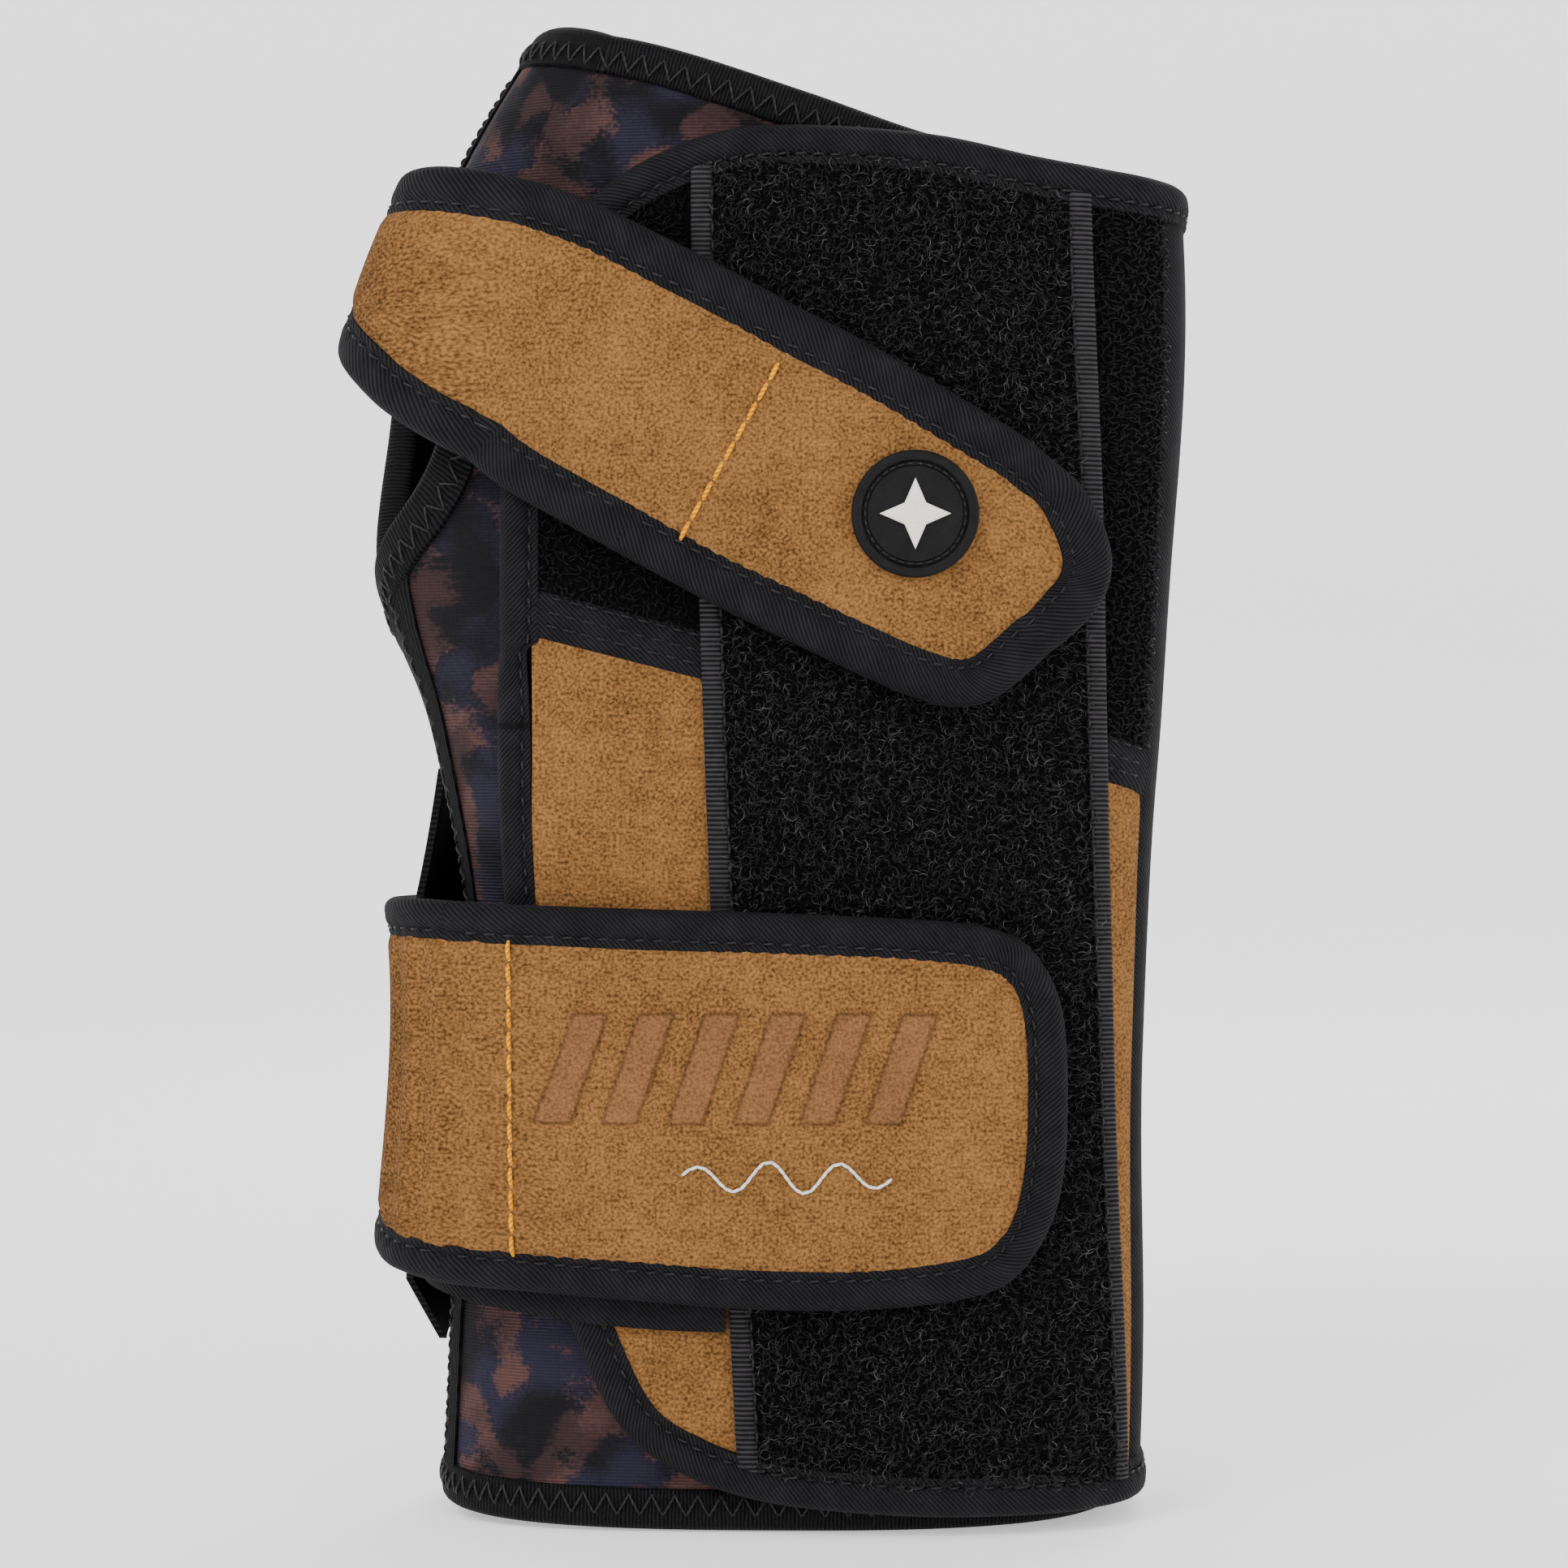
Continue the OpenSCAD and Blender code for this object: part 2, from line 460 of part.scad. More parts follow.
module lower_strap_root_backing() {
    color(TWILL) strap_part(lower_low, lower_high, root_ends, lower_binding_w + gap, 5, 2,
        over(lower_lift, backing_d[0]), over(lower_lift, backing_d[1]));
}
module lower_strap_root_binding() {
    color(TWILL) strap_edges(lower_low, lower_high, root_ends, lower_binding_w, 5,
        over(lower_lift, 0), over(lower_lift, strap_t));
}
module lower_strap_mid_suede() {
    color(TAN) strap_part(lower_low, lower_high, lower_mid_ends, lower_binding_w + gap, 6, 3,
        over(lower_lift, suede_d[0]), over(lower_lift, suede_d[1]));
}
module lower_strap_mid_backing() {
    color(TWILL) strap_part(lower_low, lower_high, lower_mid_ends, lower_binding_w + gap, 6, 2,
        over(lower_lift, backing_d[0]), over(lower_lift, backing_d[1]));
}
module lower_strap_mid_binding() {
    color(TWILL) strap_edges(lower_low, lower_high, lower_mid_ends, lower_binding_w, 6,
        over(lower_lift, 0), over(lower_lift, strap_t));
}
module lower_strap_tip_suede() {
    color(TAN) tip_part(lower_tip, lower_binding_w + gap, 12, 3,
        over(lower_lift, suede_d[0]), over(lower_lift, suede_d[1]));
}
module lower_strap_tip_backing() {
    color(TWILL) tip_part(lower_tip, lower_binding_w + gap, 12, 2,
        over(lower_lift, tip_backing_d[0]), over(lower_lift, tip_backing_d[1]));
}
module lower_strap_tip_binding() {
    color(TWILL) tip_edge(lower_tip, lower_binding_w, 32, over(lower_lift, 0), over(lower_lift, strap_t));
}
module lower_strap_hook_patch() {
    color(BLACK) tip_part(lower_tip, lower_binding_w + gap, 12, 2,
        over(lower_lift, hook_d[0]), over(lower_lift, hook_d[1]));
}

// ---- Badge ----
badge_spot = [15.2, 131.2];
badge_turn = 3;         // the strap's face falls away a little towards the little finger
badge_gap = 0.45;
badge_lip = [1, 0.4];   // width and height of the badge's raised lip
mark_h = 0.5;
cut = 0.1;              // how far a cut passes the face that it opens
module on_strap() {
    translate(place(badge_spot[0], badge_spot[1], strap_lift + suede_d[1] + badge_gap))
        rotate([90, 0, badge_turn]) children();
}
module badge() {
    color(BLACK) on_strap() {
        cylinder(h = badge_t - badge_lip[1], r = badge_r, $fn = 64);
        translate([0, 0, badge_t - badge_lip[1]]) difference() {
            cylinder(h = badge_lip[1], r = badge_r, $fn = 64);
            translate([0, 0, -cut])
                cylinder(h = badge_lip[1] + 2 * cut, r = badge_r - badge_lip[0], $fn = 64);
        }
    }
}
module badge_mark() {
    star = [for (i = [0:7]) let (r = badge_r / (i % 2 == 0 ? 2 : 5.4)) r * [cos(45 * i), sin(45 * i)]];
    color(CREAM) on_strap() translate([0, 0, badge_t - badge_lip[1]]) linear_extrude(mark_h) polygon(star);
}

liner_front_panel();
liner_back_panel();
hand_opening_binding();
cuff_binding();
thumb_hole_binding();
thumb_side_seam_tape();
hand_edge_tape();
wrap_lining();
wrap_foam();
dorsal_splint();
wrap_loop_panel();
wrap_seam_band();
wrap_suede_panel();
wrap_binding();
loop_tape();
side_gusset();
cuff_elastic_band();
palm_base_panel();
palm_splint();
palm_splint_pocket();
palm_foam_pad();
palm_suede_patch();
palm_patch_binding();
upper_strap_anchor();
lower_strap_anchor();
upper_strap_root_suede();
upper_strap_root_backing();
upper_strap_root_binding();
upper_strap_mid_suede();
upper_strap_mid_backing();
upper_strap_mid_binding();
upper_strap_tip_suede();
upper_strap_tip_backing();
upper_strap_tip_binding();
upper_strap_hook_patch();
badge();
badge_mark();
lower_strap_root_suede();
lower_strap_root_backing();
lower_strap_root_binding();
lower_strap_mid_suede();
lower_strap_mid_backing();
lower_strap_mid_binding();
lower_strap_tip_suede();
lower_strap_tip_backing();
lower_strap_tip_binding();
lower_strap_hook_patch();
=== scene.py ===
import math
import bpy
import numpy as np
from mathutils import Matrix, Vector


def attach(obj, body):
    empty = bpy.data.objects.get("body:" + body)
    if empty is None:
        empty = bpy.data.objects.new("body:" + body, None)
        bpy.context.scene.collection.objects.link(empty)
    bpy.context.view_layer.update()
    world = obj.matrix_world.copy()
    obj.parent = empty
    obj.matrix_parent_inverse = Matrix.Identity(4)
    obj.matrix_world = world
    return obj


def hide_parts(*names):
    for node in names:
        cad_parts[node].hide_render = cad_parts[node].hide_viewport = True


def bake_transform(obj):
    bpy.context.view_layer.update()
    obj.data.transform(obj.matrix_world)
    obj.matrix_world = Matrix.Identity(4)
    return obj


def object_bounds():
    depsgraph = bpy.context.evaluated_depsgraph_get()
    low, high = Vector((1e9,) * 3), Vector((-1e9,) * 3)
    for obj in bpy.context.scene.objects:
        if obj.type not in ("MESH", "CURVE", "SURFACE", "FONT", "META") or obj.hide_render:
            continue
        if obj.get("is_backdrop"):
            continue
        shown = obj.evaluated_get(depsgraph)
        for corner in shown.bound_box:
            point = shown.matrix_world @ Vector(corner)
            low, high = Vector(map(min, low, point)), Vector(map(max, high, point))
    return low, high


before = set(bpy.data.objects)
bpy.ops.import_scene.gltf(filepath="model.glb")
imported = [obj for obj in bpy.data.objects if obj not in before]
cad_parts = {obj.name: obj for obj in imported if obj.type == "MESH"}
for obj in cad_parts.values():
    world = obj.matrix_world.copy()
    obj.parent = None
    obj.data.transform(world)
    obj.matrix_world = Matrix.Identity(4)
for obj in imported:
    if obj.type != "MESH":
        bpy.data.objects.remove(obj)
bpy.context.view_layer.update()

# ---------------------------------------------------------------------------------------------
# Studio. A camera square to the closure side, a pale floor that bends up into a round wall, and
# soft light from a big panel at the upper left, weaker ones around it and a bright white sky.
MM = 0.001


def srgb(red, green, blue):
    """A colour from 0 to 255 as the linear one that a shader takes."""
    return tuple(((v / 255 + 0.055) / 1.055) ** 2.4 if v > 10 else v / 255 / 12.92
                 for v in (red, green, blue)) + (1.0,)


camera = bpy.data.objects.new("camera", bpy.data.cameras.new("camera"))
bpy.context.scene.collection.objects.link(camera)
bpy.context.scene.camera = camera
camera_distance = 0.48
camera.location = (0.00247, -0.0229 - camera_distance, 0.0969)
camera.rotation_euler = (math.radians(90), 0, 0)
sensor, view_height = 36, 0.201
camera.data.sensor_width = sensor
camera.data.lens = sensor * camera_distance / view_height
camera.data.clip_start, camera.data.clip_end = 0.01, 10

sweep_r, sweep_bend, sweep_top, sweep_sides = 1.5, 0.5, 1.6, 96
bend = np.linspace(0, math.pi / 2, 17)
bowl = [sweep_r - sweep_bend + sweep_bend * np.sin(bend), sweep_bend - sweep_bend * np.cos(bend)]
sweep_line = np.concatenate([[[0.001, 0]], np.stack(bowl, 1), [[sweep_r, sweep_top]]])
out, up = sweep_line.T
way_round = np.linspace(0, 2 * math.pi, sweep_sides, endpoint=False)[:, None]
sweep_points = np.stack(np.broadcast_arrays(out * np.cos(way_round), out * np.sin(way_round), up), -1)
n_sweep = len(sweep_line)
sweep_at = np.arange(sweep_sides * n_sweep).reshape(sweep_sides, n_sweep)
sweep_next = np.roll(sweep_at, -1, 0)
sweep_faces = np.stack([sweep_at[:, :-1], sweep_at[:, 1:], sweep_next[:, 1:], sweep_next[:, :-1]], -1)
sweep_mesh = bpy.data.meshes.new("sweep")
sweep_mesh.from_pydata(sweep_points.reshape(-1, 3).tolist(), [], sweep_faces.reshape(-1, 4).tolist())
sweep_mesh.polygons.foreach_set("use_smooth", [True] * len(sweep_mesh.polygons))
sweep = bpy.data.objects.new("sweep", sweep_mesh)
bpy.context.scene.collection.objects.link(sweep)
paper = bpy.data.materials.new("pale_paper")
paper.use_nodes = True
for socket, value in (("Base Color", (0.92, 0.92, 0.92, 1)), ("Roughness", 0.9),
                      ("Emission Color", (1, 1, 1, 1)), ("Emission Strength", 0.5)):
    paper.node_tree.nodes["Principled BSDF"].inputs[socket].default_value = value
sweep_mesh.materials.append(paper)
sweep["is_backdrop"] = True


def panel_light(name, spot, target, size, power):
    """A square area light at spot that faces target."""
    lamp = bpy.data.lights.new(name, "AREA")
    lamp.size, lamp.energy = size, power
    holder = bpy.data.objects.new(name, lamp)
    holder.location = spot
    aim = Vector(target) - Vector(spot)
    holder.rotation_euler = aim.to_track_quat("-Z", "Y").to_euler()
    bpy.context.scene.collection.objects.link(holder)


panel_light("key", (-0.55, -0.75, 0.85), (0, 0, 0.1), 0.4, 7)
panel_light("fill", (0.8, -0.5, 0.35), (0, 0, 0.1), 0.6, 1.5)
panel_light("behind", (0.3, 0.8, 0.8), (0, 0, 0.1), 0.5, 5)
sky = bpy.data.worlds.new("sky")
sky.use_nodes = True
sky.node_tree.nodes["Background"].inputs["Color"].default_value = (1, 1, 1, 1)
sky.node_tree.nodes["Background"].inputs["Strength"].default_value = 0.55
bpy.context.scene.world = sky

# ---------------------------------------------------------------------------------------------
# Sleeve. Two panels of 3 mm neoprene with a printed knit face, sewn edge to edge down both
# sides. Every other layer is a sheet on this one oval sleeve: a spot on it is s, round the
# sleeve, and z, up it, in mm, and d is the height above the sleeve's face.
thumb_side = [[0, -46.8], [20, -45.6], [84, -43.9], [97, -46.4], [108, -49.2], [117, -53],
              [125, -56], [148, -55.2], [180, -43.8], [199, -32.8]]
little_side = [[0, 42.2], [25, 42.7], [60, 42.8], [90, 44.2], [105, 45.5], [125, 46.6],
               [163, 48.5], [199, 46]]
half_depth = [[0, 20.5], [60, 19.5], [120, 19.5], [160, 19], [199, 17.5]]
centre = [-3.93, -2.2]
squareness = 3.0
s_thumb, s_little = -60.0, 58.0
s_round = 2 * (s_little - s_thumb)
flat_share = 0.72
liner_t, edge_w = 3.0, 5.5
layer_mid = 5.0         # the height above the sleeve at which lengths along it are measured
rim_h, rim_drop = 198.5, 22.5
rim_shape = [[-60, 0], [-24, 0.15], [2, 0.51], [17, 0.74], [34, 0.91], [58, 1]]
hole_points = [[-59, 121.5], [-53, 128], [-47.5, 136], [-45, 145], [-46, 154], [-51, 161],
               [-57.5, 163], [-63, 158], [-65.5, 148], [-65, 136], [-62.5, 126.5]]


def curve_at(stations, where):
    """The smooth curve through [place, value] stations: a cubic in each gap, whose slope at a
    station is the mean slope of its two neighbours."""
    x, y = np.asarray(stations, float).T
    slope = np.gradient(y, x)
    i = np.clip(np.searchsorted(x, where, side="right") - 1, 0, len(x) - 2)
    gap = x[i + 1] - x[i]
    t = np.clip((where - x[i]) / gap, 0, 1)
    return (y[i] * (1 + 2 * t) * (1 - t) ** 2 + slope[i] * gap * t * (1 - t) ** 2
            + y[i + 1] * t ** 2 * (3 - 2 * t) + slope[i + 1] * gap * t ** 2 * (t - 1))


def ease(value, low, high):
    """0 below low, 1 above high, and a smooth S between them."""
    t = np.clip((value - low) / (high - low), 0, 1)
    return t * t * (3 - 2 * t)


def folded(s):
    """The place on the front that lies opposite a place on the back."""
    return np.where(s < s_thumb, 2 * s_thumb - s, np.where(s > s_little, 2 * s_little - s, s))


def front_angle(x, mid, a, b):
    """Polar angle on the oval |x/a|^3 + |y/b|^3 = 1 of the point of its front that is at x."""
    r = x - mid
    return np.arctan2(b * np.maximum(1 - np.abs(r / a) ** squareness, 0) ** (1 / squareness), r)


def place(s, z, d):
    """Points (..., 3) in mm at [s, z], d above the sleeve's face. The section at height z is an
    oval of power 3. s is x across the flat of the front, and the angle runs evenly round each
    side. Slow waves of 0.25 mm keep the cloth from looking machined."""
    s, z, d = np.broadcast_arrays(np.asarray(s, float), z, d)
    left, right = curve_at(thumb_side, z), curve_at(little_side, z)
    mid = (left + right) / 2
    d = d + 0.14 * np.sin(s / 8.3 + z / 21) + 0.11 * np.sin(z / 9.7 - s / 27 + 1.7)
    a, b = (right - left) / 2 + d, curve_at(half_depth, z) + d
    x = folded(s)
    flat = flat_share * (right - left) / 2
    low, high = mid - flat, mid + flat
    angle = front_angle(np.clip(x, low, high), mid, a, b)
    angle = np.where(x < low, angle + (math.pi - angle) * (low - x) / (low - s_thumb), angle)
    angle = np.where(x > high, angle * (1 - (x - high) / (s_little - high)), angle)
    c, n = np.cos(angle), np.sin(angle)
    r = (np.abs(c / a) ** squareness + np.abs(n / b) ** squareness) ** (-1 / squareness)
    front = (s >= s_thumb) & (s <= s_little)
    return np.stack([mid + r * c - centre[0], np.where(front, -r, r) * n - centre[1], z], -1)


def rim(s):
    """Height of the hand opening's edge."""
    return rim_h - rim_drop * curve_at(rim_shape, folded(s))


def cuff(s):
    """Height of the cuff's edge, which rises a little towards both sides."""
    return 2.2 * np.abs(folded(s) / s_thumb) ** 2.5


def run_along(line):
    """The length along a line up to each of its points."""
    return np.concatenate([[0], np.cumsum(np.linalg.norm(np.diff(line, axis=0), axis=1))])


def spaced(line, step):
    """The same line with points about step mm apart."""
    run = run_along(line)
    where = np.linspace(0, run[-1], max(int(round(run[-1] / step)), 2) + 1)
    return np.stack([np.interp(where, run, line[:, k]) for k in range(line.shape[1])], 1)


def through(points, step, closed=False):
    """The smooth line through points: a Catmull-Rom cubic in each gap, then spaced by length."""
    p = np.asarray(points, float)
    p = np.concatenate([p[-1:], p, p[:2]]) if closed else np.concatenate([p[:1], p, p[-1:]])
    a, b, c, e = p[:-3], p[1:-2], p[2:-1], p[3:]
    t = np.linspace(0, 1, 12, endpoint=False)[:, None, None]
    line = 0.5 * (2 * b + (c - a) * t + (2 * a - 5 * b + 4 * c - e) * t ** 2
                  + (3 * b - a - 3 * c + e) * t ** 3)
    line = np.concatenate([line.transpose(1, 0, 2).reshape(-1, 2), c[-1:]])
    return spaced(line, step)


def left_of(line, closed=False):
    """Steps of 1 mm to the left of a line, from each point's two neighbours. Round the sides of
    the sleeve, 1 of s is more than 1 mm of cloth, so the steps allow for that stretch."""
    if closed:
        way = np.roll(line, -1, 0) - np.roll(line, 1, 0)
        way[:, 0] -= s_round * np.round(way[:, 0] / s_round)
    else:
        way = np.gradient(line, axis=0)
    shift = np.array([0.2, 0])
    ahead, behind = (place(*(line + side * shift).T, layer_mid) for side in (1, -1))
    stretch = np.linalg.norm(ahead - behind, axis=1) / (2 * shift[0])
    across = np.stack([-way[:, 1], way[:, 0] * stretch], 1)
    across = across / np.linalg.norm(across, axis=1)[:, None]
    across[:, 0] /= stretch
    return across


def moved(line, w, closed=False):
    """The line w to its left."""
    return line + w * left_of(line, closed)


def make_piece(name, points, faces, cloth, pressed=None):
    """A mesh object from points in mm, arrays of faces, and each point's place on the cloth in
    mm. If the faces enclose a negative volume, they are all turned round."""
    corners = np.concatenate([f[:, [0, i, i + 1]] for f in faces for i in range(1, f.shape[1] - 1)])
    a, b, c = (points[corners[:, k]] for k in range(3))
    turn = -1 if np.einsum("ij,ij->", a, np.cross(b, c)) < 0 else 1
    mesh = bpy.data.meshes.new(name)
    mesh.from_pydata((points * MM).tolist(), [], [row for f in faces for row in f[:, ::turn].tolist()])
    corner_point = np.zeros(len(mesh.loops), np.int32)
    mesh.loops.foreach_get("vertex_index", corner_point)
    mesh.uv_layers.new(name="cloth").data.foreach_set("uv", (cloth[corner_point] * MM).ravel())
    if pressed is not None:
        mesh.attributes.new("pressed", "FLOAT", "POINT").data.foreach_set("value", pressed.ravel())
    mesh.polygons.foreach_set("use_smooth", [True] * len(mesh.polygons))
    mesh.set_sharp_from_angle(angle=math.radians(50))
    piece = bpy.data.objects.new(name, mesh)
    bpy.context.scene.collection.objects.link(piece)
    return piece


def slab(name, s, z, low, high, pressed=None):
    """A closed sheet on a grid of spots: its top lies at offset high and its underside at low,
    and a wall joins them round the four sides."""
    rows, cols = s.shape
    n = rows * cols
    at = np.arange(n).reshape(rows, cols)
    quads = np.stack([at[:-1, :-1], at[:-1, 1:], at[1:, 1:], at[1:, :-1]], -1).reshape(-1, 4)
    edge = np.concatenate([at[0, :-1], at[:-1, -1], at[-1, :0:-1], at[:0:-1, 0]])
    after = np.roll(edge, -1)
    wall = np.stack([after, edge, edge + n, after + n], 1)
    points = np.concatenate([place(s, z, high).reshape(-1, 3), place(s, z, low).reshape(-1, 3)])
    cloth = np.tile(np.stack([s.ravel(), z.ravel()], 1), (2, 1))
    if pressed is not None:
        pressed = np.tile(pressed.ravel(), 2)
    return make_piece(name, points, [quads, quads[:, ::-1] + n, wall], cloth, pressed)


def columns(s0, s1, low, high, step):
    """A grid of spots in upright columns from s0 to s1, between the heights low(s) and high(s)."""
    s = np.linspace(s0, s1, max(int((s1 - s0) / step), 2) + 1)
    bottom, top = low(s) + 0 * s, high(s) + 0 * s
    share = np.linspace(0, 1, max(int(np.max(top - bottom) / step), 2) + 1)[:, None]
    return np.broadcast_to(s, (len(share), len(s))), bottom + (top - bottom) * share


class Wire:
    """One output of a material's nodes. Arithmetic on it adds Math nodes to the same tree."""

    def __init__(self, socket):
        self.socket = socket

    def node(self, kind, settings, inputs, out=0):
        """One more node in this wire's tree: its settings, then its sockets' values or wires."""
        return add_node(self.socket.id_data, kind, settings, inputs, out)

    def maths(self, operation, *values):
        return self.node("Math", {"operation": operation}, dict(enumerate(values)))

    def __add__(self, other):
        return self.maths("ADD", self, other)

    def __radd__(self, other):
        return self.maths("ADD", other, self)

    def __sub__(self, other):
        return self.maths("SUBTRACT", self, other)

    def __rsub__(self, other):
        return self.maths("SUBTRACT", other, self)

    def __mul__(self, other):
        return self.maths("MULTIPLY", self, other)

    def __rmul__(self, other):
        return self.maths("MULTIPLY", other, self)

    def ridge(self, pitch):
        """A wave from 0 to 1 with its crests pitch apart."""
        return self.maths("SINE", self * (2 * math.pi / pitch)) * 0.5 + 0.5

    def ramp(self, low, high):
        """0 where this wire is below low, 1 where it is above high, and smooth between."""
        return self.node("MapRange", {"interpolation_type": "SMOOTHSTEP"},
                         {"Value": self, "From Min": low, "From Max": high})

    def between(self, low, high):
        """The colour low where this wire is 0 and high where it is 1."""
        return self.node("Mix", {"data_type": "RGBA"}, {0: self, 6: low, 7: high}, 2)

    def noise(self, size, detail=2.0):
        """Cloudy noise with lumps about size across, on this wire as a place."""
        return self.node("TexNoise", {}, {"Vector": self, "Scale": 1 / size, "Detail": detail})

    def axes(self):
        """The x and y of this wire as a place."""
        return (self.node("SeparateXYZ", {}, {0: self}, 0), self.node("SeparateXYZ", {}, {0: self}, 1))

    def scaled(self, factor):
        return self.node("VectorMath", {"operation": "SCALE"}, {0: self, "Scale": factor})


def add_node(tree, kind, settings, inputs, out=0):
    """A node of this kind: its settings first, then values or wires into its sockets."""
    node = tree.nodes.new("ShaderNode" + kind)
    for key, value in settings.items():
        setattr(node, key, value)
    for key, value in inputs.items():
        if isinstance(value, Wire):
            tree.links.new(value.socket, node.inputs[key])
        else:
            node.inputs[key].default_value = value
    return Wire(node.outputs[out])


def material(name, recipe, **fixed):
    """A finish whose recipe gives colour, roughness and height in mm from the place on the
    cloth in mm. fixed are constants on the shader's own sockets."""
    made = bpy.data.materials.new(name)
    made.use_nodes = True
    tree = made.node_tree
    shader = tree.nodes["Principled BSDF"]
    spot = add_node(tree, "UVMap", {"uv_map": "cloth"}, {}).scaled(1000)
    colour, roughness, height = recipe(spot)
    bump = spot.node("Bump", {}, {"Height": height, "Distance": MM})
    tree.links.new(colour.socket, shader.inputs["Base Color"])
    tree.links.new(roughness.socket, shader.inputs["Roughness"])
    tree.links.new(bump.socket, shader.inputs["Normal"])
    for key, value in fixed.items():
        shader.inputs[key.replace("_", " ")].default_value = value
    return made


def finish(piece, body, dress, slot, *stands_for):
    """The piece gets its material and the nodes it stands for, and its body if it rides on only one.
    slot is not used."""
    piece.data.materials.append(dress)
    if body:
        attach(piece, body)
    if stands_for:
        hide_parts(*stands_for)
    return piece


def print_recipe(spot):
    """Fine ribbed knit with soft rust blotches, whose borders are stippled, on dark navy."""
    stipple = spot.noise(0.6, 3.0)
    blotch = (spot.noise(9.0, 2.0) + stipple * 0.22).ramp(0.60, 0.68)
    glow = (spot.noise(13.0, 2.0) + stipple * 0.2).ramp(0.52, 0.72)
    x, y = spot.axes()
    rib = y.ridge(0.42)
    stitch = x.ridge(0.5) * rib
    ground = glow.between(srgb(11, 10, 14), srgb(32, 29, 45))
    rust = glow.between(srgb(46, 31, 31), srgb(76, 52, 48))
    tint = blotch.between(ground, rust)
    shade = (rib * 0.45 + stitch * 0.25 + spot.noise(0.7) * 0.6).ramp(0.15, 1.0)
    colour = shade.between(tint.scaled(0.62), tint.scaled(1.3))
    return colour, stitch * 0.1 + 0.75, rib * 0.07 + stitch * 0.04 + spot.noise(5.0) * 0.2


printed_neoprene = material("printed_neoprene", print_recipe, Specular_IOR_Level=0.15)
panel_under = 1.4       # how far a panel reaches under a binding
hole_edge = through(hole_points, 1.2, closed=True)[:-1]
hole_cut = moved(hole_edge, -panel_under, closed=True)
cut_top = int(np.argmax(hole_cut[:, 1]))
cut_low = int(np.argmin(hole_cut[:, 1]))


def hole_side(first, last):
    """One side of the thumb hole's cut, from its lowest point to its highest, as [z, s]."""
    turns = (last - first) % len(hole_cut)
    picked = hole_cut[(first + np.arange(turns + 1)) % len(hole_cut)]
    return picked[:, ::-1]


front_side = hole_side(cut_low, cut_top)
back_side = hole_side(cut_top, cut_low)[::-1]


def sleeve_panel(name, side, far, sign):
    """A sleeve panel between the thumb-side seam, which opens into the thumb hole, and the
    little-finger seam. Each row of spots starts at the seam or at the hole's cut."""
    z = np.linspace(0, 1, 190)[:, None]
    u = np.linspace(0, 1, 110)[None, :]
    height = panel_under + z * (rim_h - 2 * panel_under)
    at_hole = (height >= side[0][0]) & (height <= side[-1][0])
    near = np.where(at_hole, np.interp(height, side[:, 0], side[:, 1]), s_thumb)
    near = np.maximum(near, s_thumb) if sign > 0 else np.minimum(near, s_thumb)
    s = near + (far - near) * u
    wrist = 166.0
    top, bottom, low_wrist = rim(s) - panel_under, cuff(s) + panel_under, 20.0
    squeezed = wrist + (height - wrist) * (top - wrist) / (rim_h - panel_under - wrist)
    heights = np.where(height > wrist, squeezed, height)
    raised = bottom + (height - panel_under) * (low_wrist - bottom) / (low_wrist - panel_under)
    heights = np.where(height < low_wrist, raised, heights)
    return slab(name, s, heights, -liner_t, 0.0)


finish(sleeve_panel("sleeve_front", front_side, s_little, 1), "root", printed_neoprene,
       "printed_neoprene", "liner_front_panel")
finish(sleeve_panel("sleeve_back", back_side, 2 * s_thumb - s_little, -1), "root", printed_neoprene,
       "printed_neoprene", "liner_back_panel")

# ---------------------------------------------------------------------------------------------
# Elastic bindings. Ribbed black elastic folded over the sleeve's edge at the hand opening, the
# cuff and the thumb hole, and sewn through with a zigzag of black thread.


def elastic_recipe(spot):
    """Satin ribs across the band, uneven and a little worn."""
    x, y = spot.axes()
    rib = (x + spot.noise(2.2) * 0.5).ridge(0.5)
    tint = (rib * 0.8 + spot.noise(1.2) * 0.4).ramp(0.2, 1.05)
    height = rib * 0.12 + spot.noise(1.0) * 0.1
    return tint.between(srgb(2, 2, 2), srgb(22, 21, 23)), rib * -0.1 + 0.75, height


def thread_recipe(dark, light):
    """Twisted thread: slanting plies and a slow change of tone."""
    def recipe(spot):
        x, y = spot.axes()
        ply = (x + y * 0.6).ridge(0.45)
        tint = (ply * 0.6 + spot.noise(3.0) * 0.6).ramp(0.2, 1.0)
        return tint.between(dark, light), ply * 0.1 + 0.42, ply * 0.03
    return recipe


ribbed_elastic = material("ribbed_elastic", elastic_recipe, Specular_IOR_Level=0.08)
black_thread = material("black_thread", thread_recipe(srgb(3, 3, 3), srgb(30, 29, 31)),
                        Specular_IOR_Level=0.25)


def wander(run, seed):
    """Slow uneven waves from -1 to 1: three sines of unlike lengths."""
    waves = np.sin(run / 7.1 + seed) + 0.5 * np.sin(run / 3.3 + 2.7 * seed) + np.sin(run / 17 + 1.3 * seed)
    return waves / 2.5


def ring_faces(rings, sides, closed=False):
    """Faces between rings of points. The last ring meets the first if closed, or else both ends
    have a cap."""
    i, j = np.arange(rings if closed else rings - 1)[:, None], np.arange(sides)[None, :]
    ahead, beside = (i + 1) % rings, (j + 1) % sides
    quads = np.stack([i * sides + j, ahead * sides + j, ahead * sides + beside, i * sides + beside], -1)
    caps = [] if closed else [j, (rings - 1) * sides + j[:, ::-1]]
    return [quads.reshape(-1, 4), *caps]


